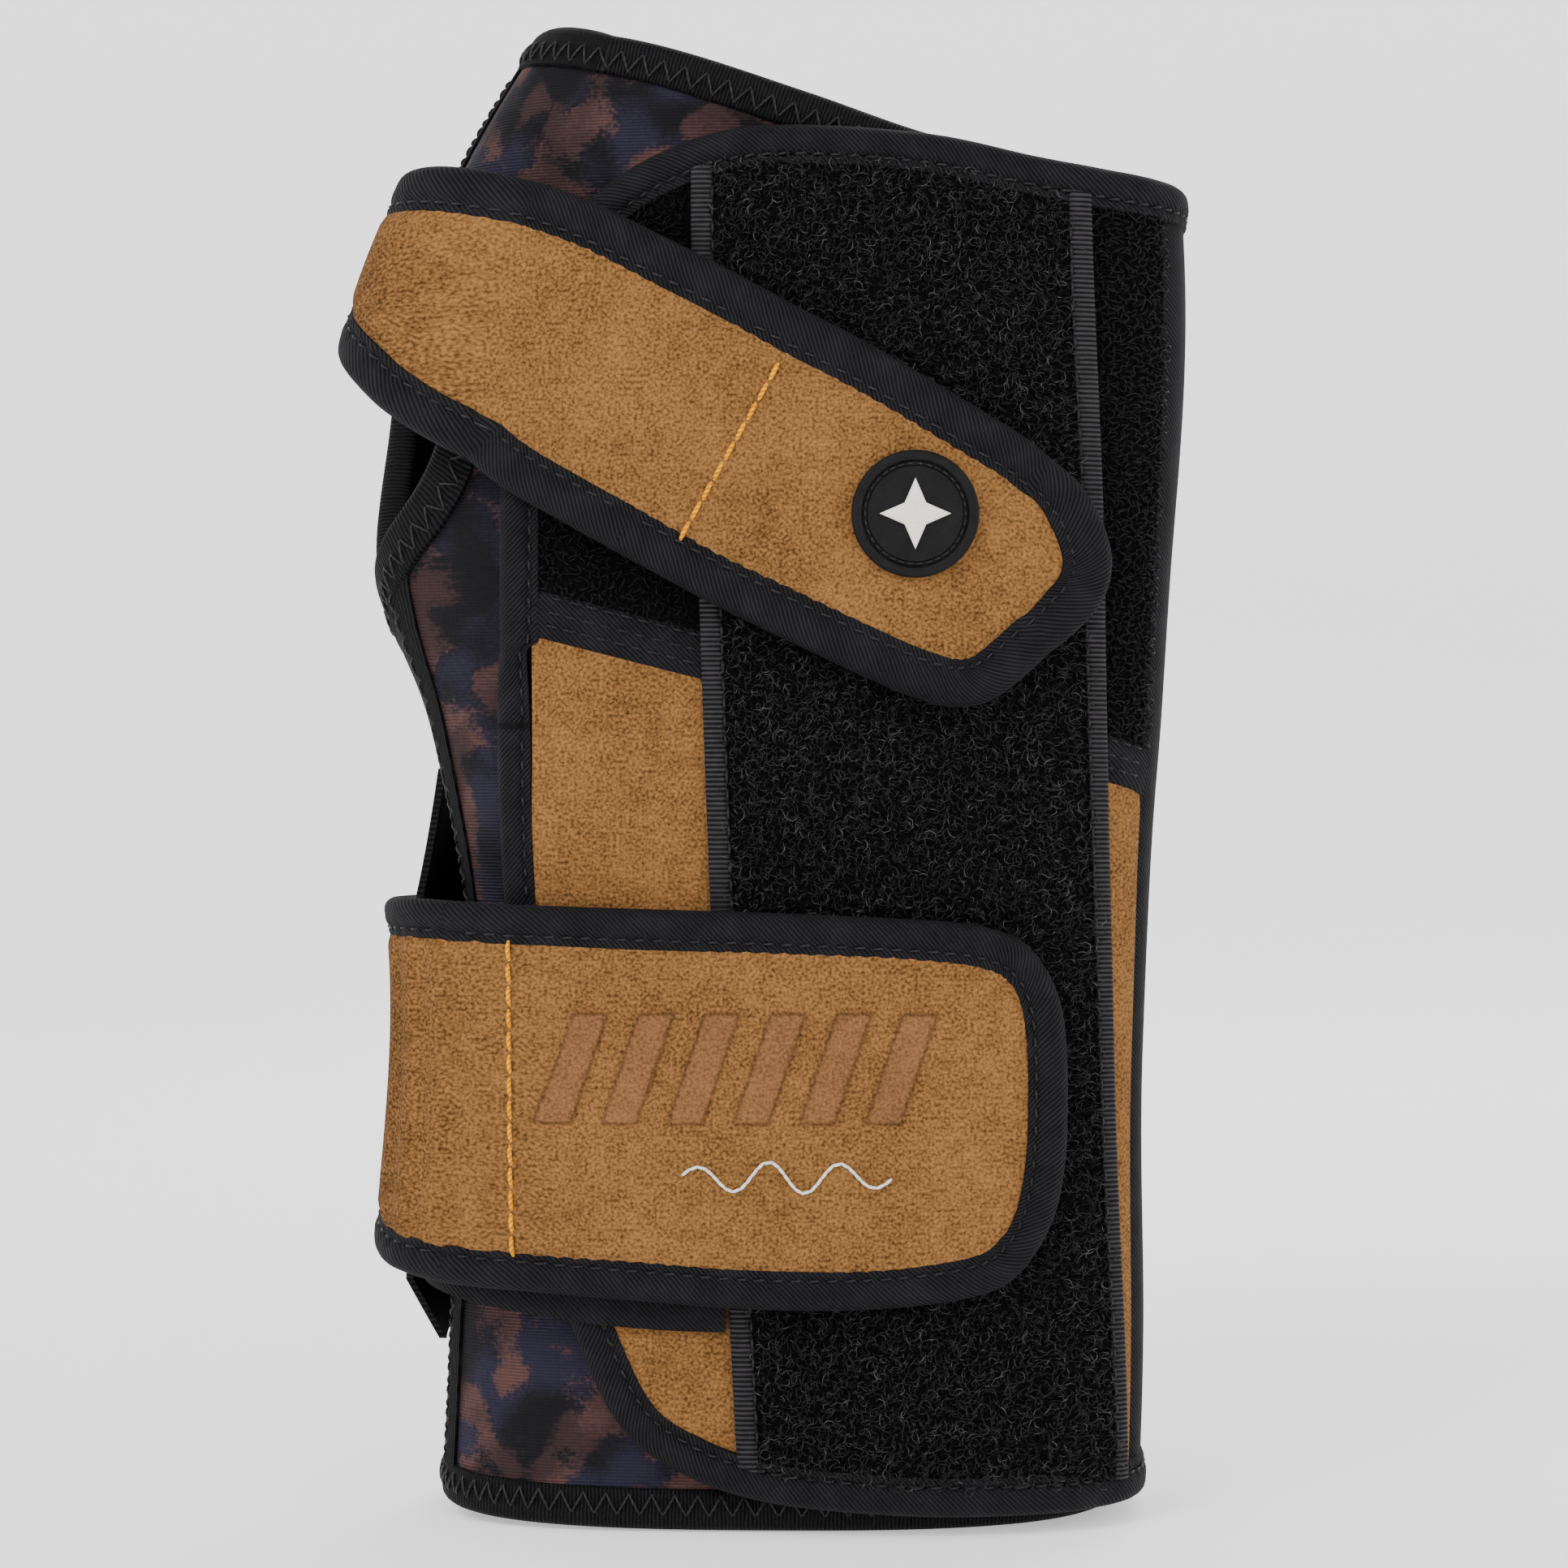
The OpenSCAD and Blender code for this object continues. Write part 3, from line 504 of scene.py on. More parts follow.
def piping(name, line, w, d, closed=False, lift=((0, 0), (1, 0))):
    """A profile carried along a line on the sleeve: its point k lies w[k] to the line's left and
    d[k] above the sleeve's face, plus the lift at its s. w and d may change along the line. Open
    ends get a cap."""
    n, k = len(line), w.shape[-1]
    w, d = np.broadcast_to(w, (n, k)), np.broadcast_to(d, (n, k))
    at = line[:, None, :] + left_of(line, closed)[:, None, :] * w[:, :, None]
    d = d + np.interp(at[..., 0], *np.array(lift, float).T)
    points = place(at[..., 0], at[..., 1], d).reshape(-1, 3)
    round_it = np.hypot(np.diff(w[0], append=w[0, 0]), np.diff(d[0], append=d[0, 0]))
    across = np.concatenate([[0], np.cumsum(round_it)[:-1]])
    cloth = np.stack(np.broadcast_arrays(run_along(line)[:, None], across[None, :]), -1).reshape(-1, 2)
    return make_piece(name, points, ring_faces(n, k, closed), cloth)


def folded_over(width, low, high):
    """The profile of a band folded over an edge at w = 0: a half round outside, two flat legs,
    and soft inner ends."""
    turn = np.linspace(-math.pi / 2, math.pi / 2, 11)
    half, mid = (high - low) / 2, (high + low) / 2
    nose = 0.75 * half
    w = np.concatenate([[width, width - 0.3, width - 1.2, width / 2], nose * (1 - np.cos(turn)),
                        [width / 2, width - 1.2, width - 0.3, width]])
    d = np.concatenate([[low + 0.6, low + 0.15, low, low], mid + half * np.sin(turn),
                        [high, high, high - 0.15, high - 0.6]])
    return w, d


def tubes(name, paths, radius, up, sides):
    """Closed tubes: ring j of a tube is its path's point j plus radius j times a circle across
    the path, turned so that up lies over it. Both ends close in a point. On the cloth, rings are
    0.5 mm apart and sides 0.2 mm."""
    n, k = paths.shape[:2]
    along = np.gradient(paths, axis=1)
    along = along / np.maximum(np.linalg.norm(along, axis=2), 1e-9)[..., None]
    side = np.cross(along, up[:, None, :])
    side = side / np.maximum(np.linalg.norm(side, axis=2), 1e-9)[..., None]
    over = np.cross(side, along)
    a = np.linspace(0, 2 * math.pi, sides, endpoint=False)[None, None, :, None]
    ring = side[:, :, None, :] * np.cos(a) + over[:, :, None, :] * np.sin(a)
    rings = paths[:, :, None, :] + radius[None, :, None, None] * ring
    tip = 0.6 * np.array([-radius[0], radius[-1]])
    poles = paths[:, [0, -1]] + along[:, [0, -1]] * tip[None, :, None]
    points = np.concatenate([rings.reshape(n, -1, 3), poles], 1)
    j, i = np.meshgrid(np.arange(k - 1), np.arange(sides), indexing="ij")
    beside = (i + 1) % sides
    quads = np.stack([j * sides + i, j * sides + beside, (j + 1) * sides + beside, (j + 1) * sides + i], -1)
    i = np.arange(sides)
    beside = (i + 1) % sides
    first = np.stack([beside, i, np.full(sides, k * sides)], 1)
    last = np.stack([(k - 1) * sides + i, (k - 1) * sides + beside, np.full(sides, k * sides + 1)], 1)
    shift = (np.arange(n) * (k * sides + 2))[:, None, None]
    faces = [(f[None] + shift).reshape(-1, f.shape[1]) for f in (quads.reshape(-1, 4), first, last)]
    lengths = np.concatenate([np.repeat(np.arange(k), sides), [0, k - 1]]) * 0.5
    girths = np.concatenate([np.tile(np.arange(sides), k), [0, 0]]) * 0.2
    cloth = np.stack(np.broadcast_arrays(lengths[None] + 3.1 * np.arange(n)[:, None], girths[None]), -1)
    return make_piece(name, points.reshape(-1, 3), faces, cloth.reshape(-1, 2))


def outward(s, z, d):
    """Unit directions straight out of the sleeve."""
    out = place(s, z, d + 0.5) - place(s, z, d)
    return out / np.linalg.norm(out, axis=-1)[..., None]


def sewn(name, starts, ends, d, thickness=0.3, bow=0.16):
    """Stitches from starts to ends, spots on the sleeve: each rises by bow over the cloth at
    offset d and dives into it at both ends."""
    t = np.array([0, 0.22, 0.5, 0.78, 1.0])
    at = starts[:, None, :] + (ends - starts)[:, None, :] * t[None, :, None]
    height = np.broadcast_to(d, (len(starts),))[:, None] + bow * (1.2 - 2.6 * np.abs(2 * t - 1) ** 2.5)
    paths = place(at[..., 0], at[..., 1], height)
    middle = (starts + ends) / 2
    up = outward(middle[:, 0], middle[:, 1], 3.0)
    return tubes(name, paths, thickness / 2 * np.array([0.7, 0.95, 1.0, 0.95, 0.7]), up, 6)


def row_along(line, inset, pitch, length, slant=0.0):
    """Starts and ends of a row of stitches: every pitch mm along a line, inset to its left, each
    length mm long and slanting by slant across the row."""
    fine = spaced(line, 0.25)
    run = run_along(place(*fine.T, layer_mid))
    middle = np.arange(pitch, run[-1] - pitch / 2, pitch)
    left = left_of(fine)

    def at(where, w):
        return np.stack([np.interp(where, run, fine[:, k] + w * left[:, k]) for k in (0, 1)], 1)
    return at(middle - length / 2, inset - slant / 2), at(middle + length / 2, inset + slant / 2)


def zigzag_along(line, low, high, pitch):
    """Starts and ends of a zigzag between low and high to a line's left, with a turn each pitch."""
    fine = spaced(line, 0.25)
    run = run_along(place(*fine.T, layer_mid))
    where = np.arange(pitch / 2, run[-1], pitch)
    w = np.where(np.arange(len(where)) % 2 == 0, low, high)
    left = left_of(fine)
    turn = np.stack([np.interp(where, run, fine[:, k]) + w * np.interp(where, run, left[:, k])
                     for k in (0, 1)], 1)
    return turn[:-1], turn[1:]


def joined(rows):
    """Several rows of stitches as one: all starts, then all ends."""
    return (np.concatenate(spots) for spots in zip(*rows))


hem_n = 470
rim_s = np.linspace(s_little, s_little - s_round, hem_n)
rim_line = np.stack([rim_s, rim(rim_s)], 1)
hem_w, hem_d = folded_over(edge_w, -liner_t - 0.8, 0.85)
wave = 0.1 * wander(np.linspace(0, s_round, hem_n), 2.0)[:, None] * (hem_d > 0)
hand_hem = piping("hand_hem", rim_line[:-1], hem_w, (hem_d + wave)[:-1], closed=True)
finish(hand_hem, "root", ribbed_elastic, "ribbed_elastic", "hand_opening_binding")
cuff_s = np.linspace(s_little - s_round, s_little, hem_n)
cuff_line = np.stack([cuff_s, cuff(cuff_s) + 0.05], 1)
cuff_hem = piping("cuff_hem", cuff_line[:-1], hem_w, hem_d + wave[:-1], closed=True)
finish(cuff_hem, "root", ribbed_elastic, "ribbed_elastic", "cuff_binding")
hole_line = through(hole_points, 1.0, closed=True)[::-1][:-1]
ring_w, ring_d = folded_over(7.8, -liner_t - 0.7, 1.0)
thumb_ring = piping("thumb_hole_ring", hole_line, ring_w, ring_d, closed=True)
finish(thumb_ring, "root", ribbed_elastic, "ribbed_elastic", "thumb_hole_binding")
hem_reach, ring_reach = (2.2, 4.8), (3.6, 6.8)
whole_hole = np.concatenate([hole_line, hole_line[:1]])
for name, line, reach in (("hand_hem_zigzag", rim_line, hem_reach), ("cuff_hem_zigzag", cuff_line, hem_reach),
                          ("thumb_hole_zigzag", whole_hole, ring_reach)):
    starts, ends = zigzag_along(line, *reach, 1.5)
    finish(sewn(name, starts, ends, 0.98, 0.36), "root", black_thread, "ribbed_elastic")

# ---------------------------------------------------------------------------------------------
# Seam tapes. Flat elastic over the sleeve's thumb-side seam, below the thumb hole and above it,
# with a zigzag of black thread down the part that faces front.
tape_reach, below_hole, above_hole = 11.5, 118, 164.5
for name, node, s1, low, high in (
        ("seam_tape", "thumb_side_seam_tape", s_thumb + tape_reach, edge_w - 0.6,
         lambda s: below_hole + 0.75 * (s - s_thumb)),
        ("hand_edge_strip", "hand_edge_tape", s_thumb + tape_reach / 2, above_hole, lambda s: rim(s) - 4.5)):
    s, z = columns(s_thumb - 1, s1, lambda s, v=low: v + 0.3 * cuff(s), high, 0.5)
    crown = 0.35 * (1 - np.abs((s - s.min()) / (s.max() - s.min()) * 2 - 1) ** 4)
    finish(slab(name, s, z, 0.05 + 0 * s, 0.45 + crown), "root", ribbed_elastic, "ribbed_elastic", node)
    middle = s1 - tape_reach / 4
    line = np.array([[middle, low + 1], [middle, high(middle) - 1]])
    starts, ends = zigzag_along(line, -0.8, 0.8, 1.5)
    finish(sewn(name + "_zigzag", starts, ends, 0.88, 0.34), "root", black_thread, "ribbed_elastic")

# ---------------------------------------------------------------------------------------------
# Wrap panel, inside. A thin lining on the sleeve, then a stiff splint under the loop tape with
# 1.5 mm foam on both sides of it. The splint is the CAD piece with a moulded plastic finish.
wrap_binding_w = 5.4
wrap_left, wrap_right = -38.2, 140.0
wrap_low = [[wrap_left, 104], [wrap_left, 80], [-37, 62], [-34, 42], [-29.3, 27.6], [-23, 14.5],
            [-15.5, 8.6], [-4, 4.6], [13.5, 2.8], [30, 2.4], [44, 2.4], [58, 2.4], [71, 2.4], [84, 2.4],
            [112, 2.6], [130, 4.5], [138, 12], [wrap_right, 24], [wrap_right, 104]]
wrap_high = [[wrap_left, 104], [wrap_left, 136], [-36.8, 151], [-31.5, 166], [-25, 174],
             [-15, 179.6], [-3, 182], [16.7, 181], [31.5, 178.2], [44, 176.6], [58, 176], [71, 176.2],
             [84, 177], [112, 180], [130, 179], [138, 172], [wrap_right, 158], [wrap_right, 104]]
lower_edge, upper_edge = through(wrap_low, 1.2), through(wrap_high, 1.2)
wrap_line = np.concatenate([lower_edge, upper_edge[-2:0:-1]])
tuck = wrap_binding_w - 1.2      # a layer reaches this far in from the edge, under the binding
inner_low, inner_high = moved(lower_edge, tuck), moved(upper_edge, -tuck)
panel_left, panel_right = wrap_left + tuck, wrap_right - tuck
gusset = (46.4, 74.0)
tape_left, tape_w, tape_top, tape_lean = -13.4, 50.8, 174.0, 6.2
splint_half = 16.0
seam_h, seam_slope, seam_band_w = 107.8, 0.255, 5.6


def wrap_bottom(s):
    return np.interp(s, inner_low[:, 0], inner_low[:, 1])


def wrap_top(s):
    return np.interp(s, inner_high[:, 0], inner_high[:, 1])


def seam(s):
    """Height of the suede's top edge, which falls towards the little finger."""
    return seam_h - seam_slope * s


def tape_edge(z, share):
    """s at a share of the loop tape's width: the tape bends a little to the right downwards."""
    down = np.maximum(tape_top - z, 0) / (tape_top - edge_w)
    return tape_left + tape_lean * down ** 1.5 + tape_w * share


def knit_recipe(dark, light, pitch):
    """Plain knit: small rows of stitches, with cloudy wear."""
    def recipe(spot):
        x, y = spot.axes()
        stitch = x.ridge(pitch) * y.ridge(pitch * 0.8)
        tint = (stitch * 0.7 + spot.noise(1.5) * 0.5).ramp(0.15, 1.0)
        return tint.between(dark, light), stitch * 0.1 + 0.8, stitch * 0.1
    return recipe


def foam_recipe(spot):
    """Grey foam with fine cells."""
    cells = spot.noise(0.8)
    return cells.ramp(0.3, 0.8).between(srgb(28, 28, 30), srgb(52, 52, 55)), cells * 0.1 + 0.85, cells * 0.2


def plastic_recipe(spot):
    """Moulded plastic with a fine spark-eroded grain."""
    place_on = spot.node("TexCoord", {}, {}, 3).scaled(1000)
    grain = place_on.noise(0.35)
    return grain.between(srgb(84, 86, 88), srgb(106, 108, 110)), grain * 0.2 + 0.4, grain * 0.05


lining_knit = material("lining_knit", knit_recipe(srgb(20, 20, 22), srgb(46, 46, 50), 0.7))
foam = material("foam", foam_recipe)
splint_plastic = material("splint_plastic", plastic_recipe)
s, z = columns(panel_left, gusset[0], wrap_bottom, wrap_top, 2.0)
finish(slab("wrap_inner_lining", s, z, 0.3, 0.8), "root", lining_knit, "black_twill", "wrap_lining")
splint_mid = tape_left + tape_w / 2
for side, s0, s1 in (("left", panel_left + 1, splint_mid - splint_half),
                     ("right", splint_mid + splint_half, gusset[0] - 1)):
    s, z = columns(s0, s1, lambda s: wrap_bottom(s) + 1, lambda s: wrap_top(s) - 1, 2.0)
    puff = 0.2 * np.sin(math.pi * (s - s0) / (s1 - s0))
    pad = finish(slab("wrap_foam_" + side, s, z, 1.1 - puff, 2.5 + puff), "root", foam, "foam", "wrap_foam")
for node in ("dorsal_splint", "palm_splint"):
    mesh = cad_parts[node].data
    mesh.materials.clear()
    mesh.materials.append(splint_plastic)

# ---------------------------------------------------------------------------------------------
# Wrap panel, face. Tan split suede below a slanting twill seam band, unbroken-loop fabric above
# it, and a twill gusset that turns round the little-finger side. All end under the binding.


def suede_recipe(spot):
    """Split leather: a fine, even nap with faint clouds, and painted shade where it turns round the side."""
    tuft = spot.noise(0.42, 3.0)
    cloud = spot.noise(2.4, 2.0) * 0.35 + spot.noise(15.0, 2.0) * 0.35
    pressed = spot.node("Attribute", {"attribute_name": "pressed"}, {}, 2)
    x, y = spot.axes()
    # painted shade: the suede is made darker towards the thumb side, where it turns away from the light
    turn = x.ramp(-60, -38) * 0.22
    shade = (tuft * 1.5 + cloud + turn - 0.8).ramp(0.0, 1.0)
    tint = shade.between(srgb(52, 31, 12), srgb(148, 105, 60))
    smooth = (shade * 0.7 + 0.15).between(srgb(62, 40, 22), srgb(142, 99, 64))
    rim_shade = 1 - pressed * (1 - pressed) * 1.6
    colour = pressed.between(tint, smooth)
    return colour.scaled(rim_shade), 0.93 - pressed * 0.1, tuft * (0.3 - pressed * 0.16) + cloud * 0.3


def twill_recipe(spot):
    """Cotton twill: fine slanting ridges, nearly black."""
    x, y = spot.axes()
    ridge = (x * 0.72 + y * 0.69 + spot.noise(6.0) * 0.3).ridge(0.5)
    cloud = spot.noise(4.0, 3.0)
    tint = (ridge * 0.5 + cloud * 0.55).ramp(0.2, 1.0)
    return tint.between(srgb(4, 4, 5), srgb(32, 31, 34)), 0.9 - ridge * 0.1, ridge * 0.09 + cloud * 0.15


def loop_ground_recipe(spot):
    """The dense dark ground under loops or pile."""
    fuzz = spot.noise(0.5, 3.0)
    return fuzz.ramp(0.45, 0.85).between(srgb(2, 2, 2), srgb(22, 21, 22)), fuzz * 0.2 + 0.7, fuzz * 0.35


tan_suede = material("tan_suede", suede_recipe, Specular_IOR_Level=0.05)
black_twill = material("black_twill", twill_recipe, Specular_IOR_Level=0.12)
loop_ground = material("loop_ground", loop_ground_recipe, Specular_IOR_Level=0.05)
loop_yarn = material("loop_yarn", thread_recipe(srgb(2, 2, 2), srgb(28, 26, 28)), Specular_IOR_Level=0.15)
s, z = columns(panel_left, gusset[0] - 0.4, wrap_bottom, seam, 1.0)
near_seam = np.clip((seam(s) - z) / 2.5, 0, 1)
face_top = 3.55 + 0.45 * near_seam * (2 - near_seam) - 0.5 * ease(s, gusset[0] - 3, gusset[0])
finish(slab("wrap_suede", s, z, 2.9, face_top), "root", tan_suede, "tan_suede", "wrap_suede_panel")
s, z = columns(panel_left, gusset[0] - 0.4, lambda s: seam(s) - 0.5, lambda s: seam(s) + seam_band_w, 0.8)
swell = np.clip(1 - np.abs((z - seam(s) - 2.55) / 3.05), 0, 1) ** 0.5
finish(slab("wrap_seam_tape", s, z, 3.0, 3.7 + 0.55 * swell), "root", black_twill, "black_twill",
       "wrap_seam_band")
s, z = columns(panel_left, gusset[0] - 0.4, lambda s: seam(s) + seam_band_w - 0.6, wrap_top, 1.2)
finish(slab("wrap_loop_fabric", s, z, 2.9, 3.7), "root", loop_ground, "unbroken_loop", "wrap_loop_panel")
band_s = np.linspace(panel_left, gusset[0] - 1, 60)
band_line = np.stack([band_s, seam(band_s)], 1)
rows = [row_along(band_line, inset, 2.3, 1.5) for inset in (1.3, 3.0, 4.9)]
finish(sewn("wrap_seam_stitches", *joined(rows), 4.22, 0.26), "root", black_thread, "black_twill")
s, z = columns(*gusset, wrap_bottom, wrap_top, 1.2)
across = (s - gusset[0]) / (gusset[1] - gusset[0])
round_edge = 0.9 * (1 - np.abs(2 * across - 1) ** 8)
finish(slab("side_turn", s, z, 0.3, 2.9 + round_edge), "root", black_twill, "black_twill", "side_gusset")

draw = np.random.default_rng(7)


def scattered(s0, s1, low, high, each):
    """Spots scattered evenly between s0 and s1 and low(s) and high(s), one to each square mm
    times each: one anywhere in every cell of a square grid."""
    step = 1 / math.sqrt(each)
    s, z = np.meshgrid(np.arange(s0, s1, step), np.arange(0, rim_h, step))
    s = (s + draw.uniform(0, step, s.shape)).ravel()
    z = (z + draw.uniform(0, step, z.shape)).ravel()
    keep = (z > low(s)) & (z < high(s)) & (s < s1)
    return s[keep], z[keep]


def yarn_loops(name, s, z, d, size):
    """Little loops of yarn: each stands up in a half turn about a random direction."""
    turn = np.linspace(0.02, 0.98, 7) * 1.35 * math.pi - 0.175 * math.pi
    way = draw.uniform(0, 2 * math.pi, len(s))[:, None]
    lean = draw.uniform(-0.6, 0.6, len(s))[:, None]
    r = size * draw.uniform(0.75, 1.15, len(s))[:, None]
    out, rise = -r * np.cos(turn), r * (0.25 + np.sin(turn))
    ds = out * np.cos(way) - lean * rise * np.sin(way)
    dz = out * np.sin(way) + lean * rise * np.cos(way)
    paths = place(s[:, None] + ds, z[:, None] + dz, d + 0.8 * rise)
    return tubes(name, paths, np.full(7, 0.09), np.cross(paths[:, -1] - paths[:, 0], outward(s, z, d)), 4)


tape_here = (tape_left - 0.5, tape_left + tape_w)
left_spots = scattered(panel_left + 1.0, tape_here[0], lambda s: seam(s) + seam_band_w, wrap_top, 1.5)
right_spots = scattered(tape_here[1] - 0.5, gusset[0], lambda s: seam(s) + seam_band_w, wrap_top, 2.2)
loops_s, loops_z = (np.concatenate(pair) for pair in zip(left_spots, right_spots))
finish(yarn_loops("wrap_loops", loops_s, loops_z, 3.7, 0.55), "root", loop_yarn, "unbroken_loop")

# ---------------------------------------------------------------------------------------------
# Wrap binding. Black cotton bias tape folded over the whole edge of the wrap, full and round
# outside, with one row of lock stitches that pulls its inner edge down.
stitch_in, stitch_pitch = 1.35, 2.35


def bias_tape(width, low, high):
    """The profile of a bound edge: a round outer edge, a full top that dips at the stitches and
    ends in a thin lip, and a flat underside."""
    turn = np.linspace(-math.pi / 2, math.pi / 2, 11)
    half, mid, nose = (high - low) / 2, (high + low) / 2, 1.7
    top = np.array([[0.35, 0.02], [0.55, -0.02], [0.66, -0.22], [1 - stitch_in / width, -0.62],
                    [1 - 0.6 * stitch_in / width, -0.36], [1 - 0.15 / width, -0.5], [1, -0.9]])
    w = np.concatenate([[width, width - 0.4, width / 2], nose * (1 - np.cos(turn)), width * top[:, 0]])
    d = np.concatenate([[low + 0.5, low, low], mid + half * np.sin(turn), high + top[:, 1]])
    return w, d


def bound_edge(name, line, width, low, high, seed, closed=False, lift=((0, 0), (1, 0))):
    """Bias tape along a line, low and high above the sleeve and its lift, with small puckers at
    the stitches and a slow change of fullness."""
    low, high = np.broadcast_to(low, len(line))[:, None], np.broadcast_to(high, len(line))[:, None]
    full = 4.0
    w, d = bias_tape(width, 0.0, full)
    run = run_along(line)[:, None]
    upper = d > full / 2
    pull = np.exp(-((w - (width - stitch_in)) / 1.1) ** 2) * upper
    height = low + d * (high - low) / full + upper * 0.12 * wander(run, seed)
    height = height - 0.16 * pull * np.cos(2 * math.pi * run / stitch_pitch)
    reach = w + 0.12 * wander(run, seed + 1.9) * (w > width / 2)
    return piping(name, line, reach, height, closed, lift)


def over_tape(s, z):
    """How much the loop tape's ends lift the binding above them."""
    right = tape_left + tape_w
    inside = ease(s, tape_left - 3, tape_left + 1) * (1 - ease(s, right - 2, right + 3))
    return 0.9 * inside * ((z > 160) | (z < 20))


wrap_ring = spaced(np.concatenate([wrap_line, wrap_line[:1]]), 0.8)[:-1]
wrap_height = 4.7 + over_tape(wrap_ring[:, 0], wrap_ring[:, 1])
finish(bound_edge("wrap_bias_binding", wrap_ring, wrap_binding_w, 0.3, wrap_height, 1.0, closed=True),
       "root", black_twill, "black_twill", "wrap_binding")


def lock_stitches(line, width, inset=stitch_in):
    """Starts and ends of the row of stitches in a bound edge."""
    return row_along(line, width - inset, stitch_pitch, 1.45, 0.14)


starts, ends = lock_stitches(wrap_ring, wrap_binding_w)
middle = (starts + ends) / 2
finish(sewn("wrap_binding_stitches", starts, ends, 4.14 + over_tape(middle[:, 0], middle[:, 1]), 0.4),
       "root", black_thread, "black_twill")

# ---------------------------------------------------------------------------------------------
# Loop tape. A 50 mm strip of loop pile between two ribbed selvedges. Its ground is one slab, the
# selvedges are ribbed ribbons, and the pile is short curled fibres.
tape_ground = 4.9


def tape_grid(low, high, across, along):
    """Spots on the loop tape between two shares of its width, from binding to binding."""
    share = np.linspace(low, high, across)[None, :]
    v = np.linspace(0, 1, along)[:, None]
    ends = wrap_bottom(tape_edge(edge_w, share)) - 0.4, wrap_top(tape_edge(tape_top, share)) + 0.4
    z = ends[0] + (ends[1] - ends[0]) * v
    return tape_edge(z, share), z


def selvedge_recipe(spot):
    """A narrow woven edge with ribs across it."""
    x, y = spot.axes()
    tint = (y.ridge(0.62) * 0.8 + spot.noise(1.4) * 0.5).ramp(0.3, 1.1)
    return tint.between(srgb(2, 2, 3), srgb(50, 48, 50)), 0.78 + tint * -0.1, tint * 0.08


def fibre_recipe(spot):
    """Shiny black filament, with painted highlight in grey here and there."""
    # painted highlight: grey patches on the black fibres stand in for their glints
    tone = spot.noise(2.2).ramp(0.5, 0.74)
    return tone.between(srgb(3, 3, 3), srgb(84, 80, 82)), 0.6 - tone * 0.15, tone * 0.01


selvedge_yarn = material("selvedge_yarn", selvedge_recipe, Specular_IOR_Level=0.15)
pile_fibre = material("pile_fibre", fibre_recipe, Specular_IOR_Level=0.3)
s, z = tape_grid(0, 1, 50, 150)
finish(slab("loop_tape_ground", s, z, 4.1, tape_ground), "root", loop_ground, "loop_pile", "loop_tape")
selvedge_w = (2.7 / tape_w, 2.1 / tape_w)
for side, low, high in (("left", -0.001, selvedge_w[0]), ("right", 1 - selvedge_w[1], 1.001)):
    s, z = tape_grid(low, high, 9, 1200)
    rib = 0.14 * np.sin(math.pi * z / 0.62) ** 2
    round_off = 0.35 * np.abs(np.linspace(-1, 1, 9)) ** 4
    over = tape_ground + 0.35 + rib - round_off[None, :]
    finish(slab("loop_tape_selvedge_" + side, s, z, tape_ground - 0.5, over), "root", selvedge_yarn,
           "loop_pile")
    inner = selvedge_w[0] if side == "left" else 1 - selvedge_w[1]
    foot, head = wrap_bottom(tape_edge(edge_w, inner)) + 2, wrap_top(tape_edge(tape_top, inner)) - 2
    line_z = np.linspace(foot, head, 60)
    starts, ends = row_along(np.stack([tape_edge(line_z, inner), line_z], 1), 0, stitch_pitch, 1.6)
    finish(sewn("loop_tape_stitches_" + side, starts, ends, tape_ground + 0.3, 0.42, 0.2), "root",
           black_thread, "loop_pile")


def fibres(name, s, z, d, tall, spread):
    """Curled fibres: each leans over in one direction and hooks round to one side."""
    n = len(s)
    way = draw.uniform(0, 2 * math.pi, n)[:, None]
    hook = draw.uniform(-3.4, 3.4, n)[:, None]
    reach = spread * draw.uniform(0.3, 1.2, n)[:, None]
    height = tall * draw.uniform(0.5, 1.15, n)[:, None]
    t = np.array([0.0, 0.25, 0.5, 0.75, 1.0])[None, :]
    ds = reach * t * np.cos(way + hook * t)
    dz = reach * t * np.sin(way + hook * t)
    paths = place(s[:, None] + ds, z[:, None] + dz, d + height * np.sin(2.3 * t) / 0.98)
    return tubes(name, paths, np.array([0.06, 0.062, 0.058, 0.05, 0.03]), outward(s, z, d), 3)


pile_s, pile_z = scattered(tape_left, tape_left + tape_w + tape_lean, lambda s: wrap_bottom(s) - 0.2,
                           lambda s: wrap_top(s) + 0.2, 2.6)
share = (pile_s - tape_edge(pile_z, 0)) / (tape_edge(pile_z, 1) - tape_edge(pile_z, 0))
keep = (share > selvedge_w[0]) & (share < 1 - selvedge_w[1])
pile_s, pile_z = pile_s[keep], pile_z[keep]
for part, low, high in (("lower", 0, 45), ("middle", 45, 85), ("upper", 85, 125), ("top", 125, 200)):
    here = (pile_z >= low) & (pile_z < high)
    finish(fibres("loop_pile_" + part, pile_s[here], pile_z[here], tape_ground - 0.1, 0.9, 1.6),
           "root", pile_fibre, "loop_pile")

# ---------------------------------------------------------------------------------------------
# Elastic band under the lower strap, and the twill that the straps are sewn to: a flat patch
# for the upper strap, and a tab that stands off the sleeve for the lower one.
strap_lift = 5.9
root_s = -94.5
upper_lift = [[root_s, 1.6], [-84, 1.6], [s_thumb, 2.9], [-44, 4.8], [-38, 5.9], [44, 5.9]]
lower_lift = [[root_s, 1.9], [-84, 4.2], [s_thumb, 8], [-50, 7.2], [-40, 5.9], [44, 5.9]]


def lift_at(lift, s):
    return np.interp(s, *np.array(lift).T)


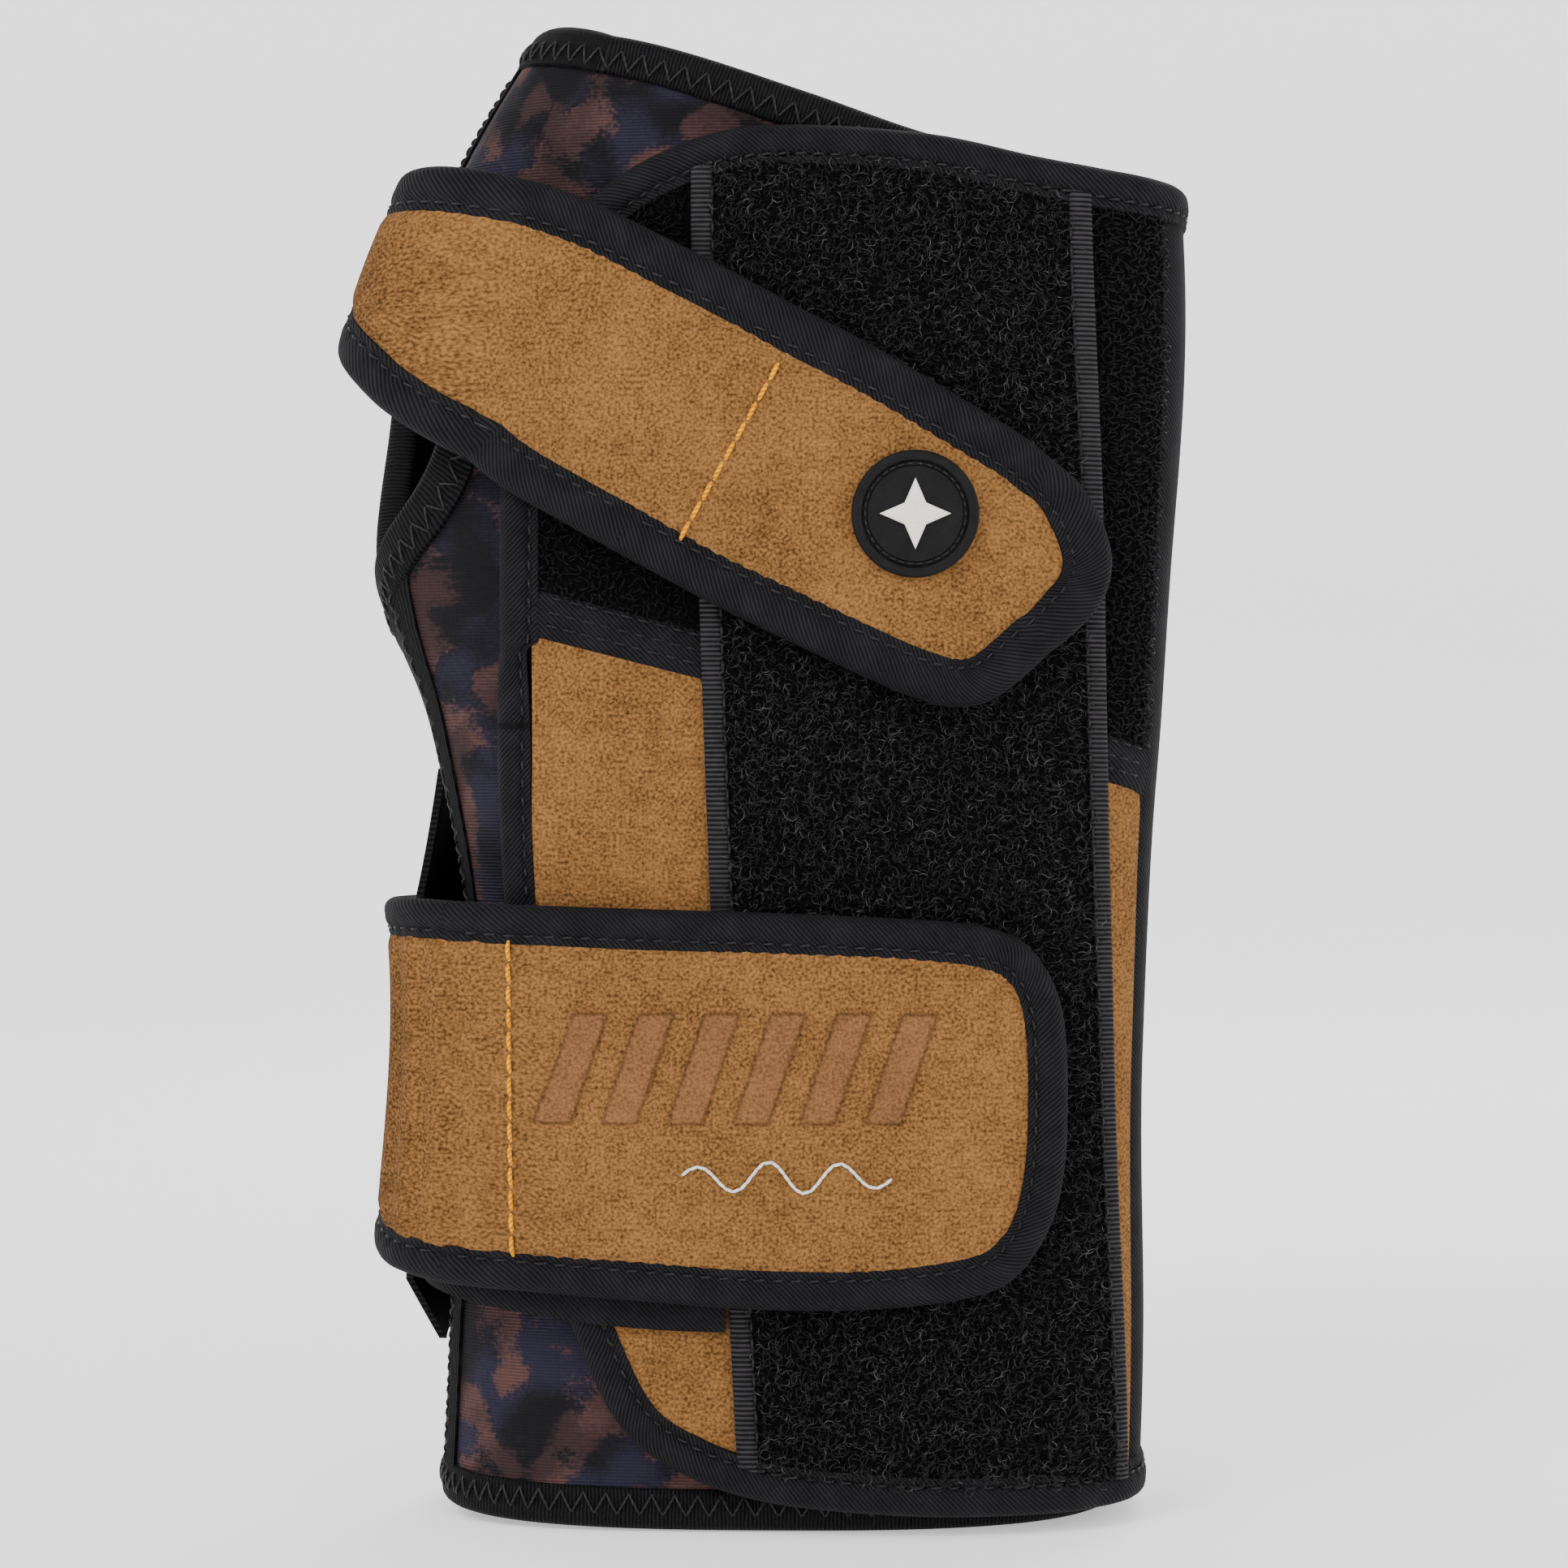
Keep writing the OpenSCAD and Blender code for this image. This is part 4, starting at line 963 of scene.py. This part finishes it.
band_right, band_foot, band_bow, band_top = -8.9, 26.6, 0.0028, 40
s, z = columns(s_thumb + 2, band_right, lambda s: band_foot + band_bow * (s + 8) ** 2,
               lambda s: band_top, 0.9)
finish(slab("cuff_band", s, z, 4.75, 5.25 + 0.3 * ease(z - z.min(0), 0, 1.2)), "root", black_twill,
       "black_twill", "cuff_elastic_band")
base_right, base_low, base_high = -73, 158, 174
s, z = columns(root_s, base_right, lambda s: base_low, lambda s: base_high, 1.5)
finish(slab("upper_strap_base_patch", s, z, 0.3, 1.3), "root", black_twill, "black_twill",
       "upper_strap_anchor")
tab_s, tab_low, tab_high = [root_s, s_thumb - 1], [28, 22], [88, 99]
s, z = columns(*tab_s, lambda s: np.interp(s, tab_s, tab_low), lambda s: np.interp(s, tab_s, tab_high), 1.0)
stand = np.interp(z, [20, 30, 82, 99], [0, 1, 1, 0]) * (lift_at(lower_lift, s) - 1.6)
finish(slab("lower_strap_tab", s, z, 0.3 + stand, 1.3 + stand), "root", black_twill, "black_twill",
       "lower_strap_anchor")

# ---------------------------------------------------------------------------------------------
# Palm side. Loop fabric with a twill pocket that holds the palm splint, and over the heel of
# the hand a suede patch on foam, bound like the wrap.
palm_mid, pocket_half, pocket_low, pocket_top = 112.0, 20.0, 7.5, 104.0
patch_mid, patch_half, patch_rim = (107.4, 139.8), (25.6, 30.4), 4.0
s, z = columns(gusset[1] - 0.5, panel_right, wrap_bottom, wrap_top, 1.2)
finish(slab("palm_fabric", s, z, 0.3, 1.2), "root", lining_knit, "unbroken_loop", "palm_base_panel")
s, z = columns(palm_mid - pocket_half, palm_mid + pocket_half, lambda s: pocket_low,
               lambda s: pocket_top, 1.0)
u = (s - palm_mid) / pocket_half
v = (z - pocket_low) / (pocket_top - pocket_low) * 2 - 1
bulge = (1 - np.abs(u) ** 5) * (1 - np.abs(v) ** 14)
finish(slab("palm_pocket", s, z, 1.2, 1.9 + 2.1 * bulge), "root", black_twill, "black_twill",
       "palm_splint_pocket")
seam_spots = [palm_mid + side * (pocket_half - inset) for side in (-1, 1) for inset in (1.0, 3.2)]
starts, ends = joined(row_along(np.array([[s, pocket_low + 4], [s, pocket_top - 4]]), 0, stitch_pitch, 1.5)
                      for s in seam_spots)
middle_u = np.abs(((starts + ends)[:, 0] / 2 - palm_mid) / pocket_half)
finish(sewn("palm_pocket_stitches", starts, ends, 1.95 + 2.1 * (1 - middle_u ** 5), 0.3), "root",
       black_thread, "black_twill")


def squared(wave):
    """A cosine or a sine made fuller, so that the two draw an oval of power 4."""
    return np.sign(wave) * np.abs(wave) ** 0.5


def patch_grid(half, n):
    """Spots on the heel patch, and how far out each lies: rings of the patch's oval."""
    r = np.linspace(0.02, 1, n)[:, None]
    t = np.linspace(0, 2 * math.pi, 97)[None, :]
    x, y = squared(np.cos(t)), squared(np.sin(t))
    return patch_mid[0] + half[0] * r * x, patch_mid[1] + half[1] * r * y, r + 0 * t


def patch_slab(name, half, low, high, crown):
    """A crowned pad over the patch's oval, closed underneath and round its side."""
    s, z, r = patch_grid(half, 24)
    top = place(s, z, high + crown * (1 - r ** 4))[:, :-1]
    bottom = place(s, z, low + 0 * r)[:, :-1]
    points = np.concatenate([top, bottom[::-1]])
    flat = np.stack([np.concatenate([v[:, :-1], v[::-1, :-1]]) for v in (s, z)], -1)
    return make_piece(name, points.reshape(-1, 3), ring_faces(*points.shape[:2]), flat.reshape(-1, 2))


heel_pad = patch_slab("palm_heel_pad", [h - patch_rim + 0.6 for h in patch_half], 1.3, 4.6, 0.7)
finish(heel_pad, "root", foam, "foam", "palm_foam_pad")
finish(patch_slab("palm_heel_suede", [h - patch_rim + 1.2 for h in patch_half], 5.2, 5.9, 1.1), "root",
       tan_suede, "tan_suede", "palm_suede_patch")
t = np.linspace(0, 2 * math.pi, 400, endpoint=False)
patch_line = np.stack([patch_mid[0] + patch_half[0] * squared(np.cos(t)),
                       patch_mid[1] + patch_half[1] * squared(np.sin(t))], 1)
patch_line = spaced(np.concatenate([patch_line, patch_line[:1]]), 0.8)[:-1]
finish(bound_edge("palm_heel_binding", patch_line, patch_rim, 1.3, 6.8, 4.0, closed=True), "root",
       black_twill, "black_twill", "palm_patch_binding")
starts, ends = lock_stitches(patch_line, patch_rim, 1.5)
finish(sewn("palm_heel_stitches", starts, ends, 6.25, 0.3), "root", black_thread, "black_twill")

# ---------------------------------------------------------------------------------------------
# Straps. Tan suede on a twill backing, bound all round like the wrap, with a hook patch under
# the end. Each is one strip, made as two meshes that meet on a line across it: the first holds
# the thumb-side fold, the second the stitch line where the hook patch starts.
tip_overlap = 7.0


def cut_at(line, s_end, keep_below):
    """The part of a line on one side of s_end, with a point exactly on it."""
    order = np.argsort(line[:, 0])
    end = np.array([[s_end, np.interp(s_end, line[order, 0], line[order, 1])]])
    if keep_below:
        return np.concatenate([line[line[:, 0] < s_end], end])
    return np.concatenate([end, line[line[:, 0] > s_end]])


def inset_ends(a, b, inset):
    """The two points of the line from a to b that lie inset from its ends."""
    step = (b - a) * inset / np.linalg.norm(b - a)
    return a + step, b - step


def halves(outline, inset, columns_n, rows_n):
    """A grid inside an open outline: its lower half joined to its upper half, both inset."""
    even = moved(spaced(outline, run_along(outline)[-1] / (2 * columns_n + 1)), inset)
    even[0], even[-1] = inset_ends(outline[0], outline[-1], inset)
    lower, upper = even[:columns_n + 1], even[:columns_n:-1]
    v = np.linspace(0, 1, rows_n)[:, None, None]
    grid = lower + (upper - lower) * v
    return grid[..., 0], grid[..., 1]


def inside_by(s, z, outline):
    """How far each spot lies from an outline, in mm."""
    spots = np.stack([s, z], -1)
    return np.min(np.linalg.norm(spots[:, :, None, :] - outline[None, None, ::2, :], axis=-1), -1)


def strap(name, low, high, tip, lift, width, press=None):
    """A whole strap from its lower, upper and tip outlines, its lift over the sleeve and its
    binding's width. Gives its pieces, the ends of its peel line and the way towards its tip."""
    low, high, tip = through(low, 0.6), through(high, 0.6), through(tip, 0.6)
    peel = low[-1], high[-1]
    across = (peel[1] - peel[0]) / np.linalg.norm(peel[1] - peel[0])
    along = np.array([across[1], -across[0]])
    join = [p - along * tip_overlap for p in peel]
    a, b = cut_at(low, join[0][0], True), cut_at(high, join[1][0], True)
    corner = 3.0
    turned = through([[root_s + corner, b[0, 1]], [root_s + 0.8, b[0, 1] - 0.8], [root_s, b[0, 1] - corner],
                      [root_s, (a[0, 1] + b[0, 1]) / 2], [root_s, a[0, 1] + corner],
                      [root_s + 0.8, a[0, 1] + 0.8], [root_s + corner, a[0, 1]]], 0.6)
    base_line = spaced(np.concatenate([b[b[:, 0] > root_s + corner + 0.5][::-1], turned,
                                       a[a[:, 0] > root_s + corner + 0.5]]), 0.7)
    tip_line = spaced(np.concatenate([cut_at(low, join[0][0], False), tip[1:-1],
                                      cut_at(high, join[1][0], False)[::-1]]), 0.7)
    base_n, base_rows, eased_n = 130, 60, 20
    s_low = np.linspace(root_s + 1, join[0][0], base_n)
    s_high = np.linspace(root_s + 1, join[1][0], base_n)
    near = ease(np.arange(base_n), base_n - eased_n, base_n - 1)[:, None]
    made = {}
    for part, line, seed in (("base", base_line, 2.0), ("tip", tip_line, 3.0)):
        for layer, inset, under, over, dress, slot, tip_grid in (
                ("suede", width - 1.3, 2.2, 3.1, tan_suede, "tan_suede", (200, 130)),
                ("backing", width - 1.5, 0.8, 2.1, black_twill, "black_twill", (80, 50))):
            if part == "base":
                lower = moved(np.stack([s_low, np.interp(s_low, *a.T)], 1), inset)
                upper = moved(np.stack([s_high, np.interp(s_high, *b.T)], 1), -inset)
                last = inset_ends(a[-1], b[-1], inset)
                lower, upper = lower + near * (last[0] - lower[-1]), upper + near * (last[1] - upper[-1])
                grid = lower + (upper - lower) * np.linspace(0, 1, base_rows)[:, None, None]
                s, z = grid[..., 0], grid[..., 1]
            else:
                s, z = halves(tip_line, inset, *tip_grid)
            crown, raised, pressed = 0.0, 0.0, None
            if layer == "suede":
                crown = 0.75 * ease(inside_by(s, z, line), width - 1.6, width + 1.4)
                if press:   # this strap's suede ripples where it comes round the side
                    slack = ease(s, -58, -50) * (1 - ease(s, -40, -34))
                    crown = crown * (1 + 0.4 * slack * np.sin(1.45 * s + 0.02 * z + 0.6))
                    if part == "tip":
                        pressed = press(s, z)
                        raised = 0.6 * pressed
            base = lift_at(lift, s)
            piece = slab(f"{name}_{part}_{layer}", s, z, base + under, base + over + crown + raised, pressed)
            made[part, layer] = finish(piece, None, dress, slot)
        piece = bound_edge(f"{name}_{part}_edging", line, width, 0.0, 3.95, seed, lift=lift)
        made[part, "binding"] = finish(piece, None, black_twill, "black_twill")
        starts, ends = lock_stitches(line, width)
        height = lift_at(lift, (starts + ends)[:, 0] / 2) + 3.37
        piece = sewn(f"{name}_{part}_stitches", starts, ends, height, 0.4)
        made[part, "stitches"] = finish(piece, None, black_thread, "black_twill")
    return made, peel, along


upper_low = [[root_s, 154], [-84, 155], [-72, 156.4], [s_thumb, 156.2], [-55, 153.5], [-50.8, 149.6],
             [-47.6, 145.2], [-43.8, 140.4], [-38.4, 135.5], [-31.2, 131.2], [-24.5, 127.4], [-17.2, 123.4]]
upper_high = [[root_s, 177.5], [-84, 178], [s_thumb, 178.6], [-47, 177.8], [-41, 176.8], [-34.8, 174.8],
              [-26.5, 171.7], [-17.4, 167.2], [-9.4, 163.1], [1.2, 157.4]]
upper_tip = [[-17.2, 123.4], [-8.3, 118.7], [10, 110], [16.4, 107.5], [20.3, 106.7], [24.4, 107.3],
             [28.3, 109.8], [33.6, 114.8], [37, 119.7], [38.1, 125], [37.2, 130.7],
             [35, 136], [31, 140.2], [25, 144],
             [10.4, 152.6], [1.2, 157.4]]
lower_low = [[root_s, 35], [-84, 35.2], [s_thumb, 35.4], [-50, 33.5], [-42, 32.3], [-35.5, 31.9]]
lower_high = [[root_s, 81], [-84, 81.5], [s_thumb, 81.8], [-48, 82], [-35.5, 81.4]]
lower_tip = [[-35.5, 31.9], [-21.3, 31], [-5.5, 29.9], [10.5, 29.9], [23.4, 31.5], [29, 34.5], [32.3, 40.2],
             [33.8, 48], [34.1, 58], [33.8, 66], [32.7, 71.4], [30.2, 75.8], [25.8, 78.2], [18.4, 79.4],
             [-1.5, 80.4], [-18, 80.9], [-35.5, 81.4]]
hook_wire = material("hook_wire", thread_recipe(srgb(16, 16, 17), srgb(50, 50, 54)), Specular_IOR_Level=0.6)
yellow_thread = material("yellow_thread", thread_recipe(srgb(178, 108, 0), srgb(236, 164, 16)),
                         Specular_IOR_Level=0.1)
white_thread = material("white_thread", thread_recipe(srgb(190, 188, 184), srgb(246, 245, 242)))


def pressed_bars(s, z):
    """Six slanting bars, raised with soft edges: 1 on a bar and 0 between them."""
    first, pitch, bar, soft, foot, head = -31.0, 8.4, 5.0, 0.55, 53.4, 67.9
    q = s - 0.34 * (z - (foot + head) / 2) - first
    on = q - pitch * np.floor(q / pitch)
    bars = ease(on, 0, soft) * (1 - ease(on, bar - soft, bar)) * ((q > 0) & (q < 6 * pitch))
    return bars * ease(z, foot, foot + soft) * (1 - ease(z, head - soft, head))


straps = {
    "upper": strap("upper_strap", upper_low, upper_high, upper_tip, upper_lift, 6.3),
    "lower": strap("lower_strap", lower_low, lower_high, lower_tip, lower_lift, 5.3, pressed_bars)}
fold_half, peel_half = 13.0, 5.0
for which, (made, peel, along) in straps.items():
    lift = upper_lift if which == "upper" else lower_lift
    mid_peel = (peel[0] + peel[1]) / 2
    before, after = (mid_peel + side * peel_half * along for side in (-1, 1))
    [tuple(place(p[0], p[1], 8.0) * MM) for p in (before, after)]
    side_spot = place(s_thumb, mid_peel[1], 8.0) * MM
    for (part, layer), piece in made.items():
        if part == "base":
            which + "_strap_mid"
            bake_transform(piece)
            ends = ("root", "mid")
        else:
            which + "_strap_mid"
            which + "_strap_tip"
            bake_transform(piece)
            ends = ("tip",)
        if layer != "stitches":
            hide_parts(*(f"{which}_strap_{end}_{layer}" for end in ends))


def on_tip(piece, which, dress, slot, *stands_for):
    """A piece on a strap's end: it gets its material and its transform baked in, and the parts it stands for
    are hidden.
    """
    finish(piece, None, dress, slot)
    which + "_strap_mid"
    which + "_strap_tip"
    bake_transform(piece)
    if stands_for:
        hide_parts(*stands_for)


# ---------------------------------------------------------------------------------------------
# Hook patches. Stiff woven tape under each strap's end, with rows of small bent hooks that hold
# in the loop pile.
hook_pitch = 1.15
for which, tip, width in (("upper", upper_tip, 6.3), ("lower", lower_tip, 5.3)):
    outline = through(tip, 0.7)
    s, z = halves(outline, width - 0.4, 60, 40)
    on_tip(slab(which + "_hook_tape", s, z, strap_lift + 0.1, strap_lift + 0.9), which, black_twill,
           "hook_tape", which + "_strap_hook_patch")
    every_spot = np.meshgrid(np.arange(-40, 44, hook_pitch), np.arange(20, 170, hook_pitch))
    hook_s, hook_z = (v.ravel() for v in every_spot)
    ring = np.concatenate([outline, outline[:1]])
    step_s, step_z = np.diff(ring[:, 0]), np.diff(ring[:, 1])
    slope = step_s / np.where(step_z == 0, 1e-9, step_z)
    spans = (ring[:-1, 1] > hook_z[:, None]) != (ring[1:, 1] > hook_z[:, None])
    before = hook_s[:, None] < ring[:-1, 0] + (hook_z[:, None] - ring[:-1, 1]) * slope
    inside = (spans & before).sum(1) % 2 == 1
    deep = inside_by(hook_s[None], hook_z[None], spaced(ring, 0.5))[0]
    keep = inside & (deep > width + 0.2)
    hook_s, hook_z = hook_s[keep], hook_z[keep]
    lean = np.where(np.round(hook_z / hook_pitch) % 2 == 0, 1, -1)[:, None]
    t = np.array([0.0, 0.45, 0.75, 1.0])[None, :]
    paths = place(hook_s[:, None] + lean * 0.4 * ease(t, 0.3, 1.0), hook_z[:, None] + 0 * t,
                  strap_lift + 0.15 - 0.7 * np.sin(2.2 * t))
    up = place(hook_s, hook_z + 1, 6.0) - place(hook_s, hook_z, 6.0)
    on_tip(tubes(which + "_hooks", paths, np.array([0.12, 0.1, 0.09, 0.08]), up, 4), which, hook_wire,
           "hook_tape")

# ---------------------------------------------------------------------------------------------
# Coloured stitching on the straps: a yellow row across each where its hook patch starts, and a
# plain white wave under the raised bars.
upper_row = np.array([[-15.5, 126.6], [-0.9, 152.6]])
lower_row = np.array([[-35.2, 34.9], [-35.6, 78.3]])
suede_top = 3.98
for which, row in (("upper", upper_row), ("lower", lower_row)):
    starts, ends = row_along(row, 0, 2.9, 2.5, 0.12)
    lift = lift_at(upper_lift if which == "upper" else lower_lift, (starts + ends)[:, 0] / 2)
    on_tip(sewn(which + "_strap_yellow_row", starts, ends, lift + suede_top, 0.6, 0.26), which, yellow_thread,
           "tan_suede")
wave_start, wave_long, wave_high = (-14.8, 46.9), 27.3, 2.1
t = np.linspace(0, 1, 240)
swing = wave_high * np.sin(2 * math.pi * 3 * t) * (0.55 + 0.45 * np.sin(math.pi * t))
wave_line = np.stack([wave_start[0] + wave_long * t, wave_start[1] + swing], 1)
starts, ends = row_along(wave_line, 0, 1.12, 1.22, 0.05)
on_tip(sewn("lower_strap_white_wave", starts, ends, strap_lift + suede_top, 0.42, 0.12), "lower",
       white_thread, "tan_suede")

# ---------------------------------------------------------------------------------------------
# Badge. A moulded rubber disc with a raised lip, sewn on through a groove, and a raised
# four-pointed star in pale rubber.
badge_spot = (15.2, 131.2)
badge_r, badge_t, badge_lip = 8.1, 1.7, 0.4
badge_out = outward(*badge_spot, 9.0)
badge_up = np.array([0, 0, 1.0]) - badge_out[2] * badge_out
badge_up = badge_up / np.linalg.norm(badge_up)
badge_side = np.cross(badge_up, badge_out)
badge_base = place(*badge_spot, strap_lift + suede_top - 0.25)


def on_badge(x, y, h):
    """Points in mm at [x, y] on the badge's back, h above it."""
    return (badge_base + np.asarray(x)[..., None] * badge_side + np.asarray(y)[..., None] * badge_up
            + np.asarray(h)[..., None] * badge_out)


def turned(name, profile, count):
    """A profile of [radius, height] turned about the badge's middle, closed at both ends."""
    r, h = profile.T
    t = np.linspace(0, 2 * math.pi, count, endpoint=False)
    x, y = np.multiply.outer(r, np.cos(t)), np.multiply.outer(r, np.sin(t))
    points = on_badge(x, y, np.broadcast_to(h[:, None], x.shape)).reshape(-1, 3)
    return make_piece(name, points, ring_faces(len(r), count), np.stack([x.ravel(), y.ravel()], 1))


def rubber_recipe(dark, light):
    """Moulded rubber: a very fine matt grain with faint scuffs."""
    def recipe(spot):
        grain = spot.noise(0.3, 3.0)
        scuff = spot.noise(3.0, 3.0)
        return ((grain * 0.5 + scuff * 0.5).ramp(0.3, 0.7).between(dark, light),
                0.5 + scuff * 0.2, grain * 0.03)
    return recipe


badge_rubber = material("badge_rubber", rubber_recipe(srgb(5, 5, 6), srgb(20, 20, 21)),
                        Specular_IOR_Level=0.12)
badge_mark_rubber = material("badge_mark_rubber", rubber_recipe(srgb(214, 210, 198), srgb(230, 227, 216)))
top, field, groove_r = badge_t, badge_t - badge_lip, 6.4
disc = np.array([[0.02, 0], [badge_r - 0.5, 0], [badge_r - 0.1, 0.15], [badge_r, 0.5], [badge_r, top - 0.35],
                 [badge_r - 0.12, top - 0.1], [badge_r - 0.4, top], [badge_r - 1.0, top],
                 [badge_r - 1.2, top - 0.08], [badge_r - 1.35, field], [6.75, field], [6.65, field - 0.2],
                 [6.15, field - 0.2], [6.05, field], [0.02, field]])
on_tip(turned("badge_disc", disc, 96), "upper", badge_rubber, "badge_rubber", "badge")
count = 34
t = 2 * math.pi * np.arange(count) / count
part_way = np.linspace(-0.5, 0.5, 5) * (2 * math.pi / count) * 0.72
a = t[:, None] + part_way
h = field - 0.1 + 0.16 * (1 - (2 * np.abs(np.linspace(-0.5, 0.5, 5))) ** 2)
paths = on_badge(groove_r * np.cos(a), groove_r * np.sin(a), np.broadcast_to(h, a.shape))
badge_stitches = tubes("badge_stitches", paths, np.array([0.12, 0.16, 0.17, 0.16, 0.12]),
                       np.tile(badge_out, (count, 1)), 6)
on_tip(badge_stitches, "upper", black_thread, "badge_rubber")
points_n = 8
star_r = np.where(np.arange(points_n) % 2 == 0, badge_r * 0.56, badge_r * 0.24)
star_a = 2 * math.pi * np.arange(points_n) / points_n
levels = [(1.0, field - 0.1), (1.0, field + 0.35), (0.95, field + 0.48), (0.88, field + 0.52)]
star = np.concatenate([
    on_badge(k * star_r * np.cos(star_a), k * star_r * np.sin(star_a), np.full(points_n, h))
    for k, h in levels])
quads = ring_faces(len(levels), points_n)[0]
hub = np.concatenate([on_badge(0.0, 0.0, h)[None] for h in (field - 0.1, field + 0.52)])
star = np.concatenate([star, hub])
j = np.arange(points_n)
beside, last = (j + 1) % points_n, (len(levels) - 1) * points_n
fans = [np.stack([np.full(points_n, len(star) - 2), beside, j], 1),
        np.stack([np.full(points_n, len(star) - 1), last + j, last + beside], 1)]
on_tip(make_piece("badge_star", star, [quads, *fans], star[:, [0, 2]]), "upper", badge_mark_rubber,
       "badge_mark_rubber", "badge_mark")

# ---------------------------------------------------------------------------------------------
# The bounds of the shown parts of the finished scene, without the backdrop.
low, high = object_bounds()
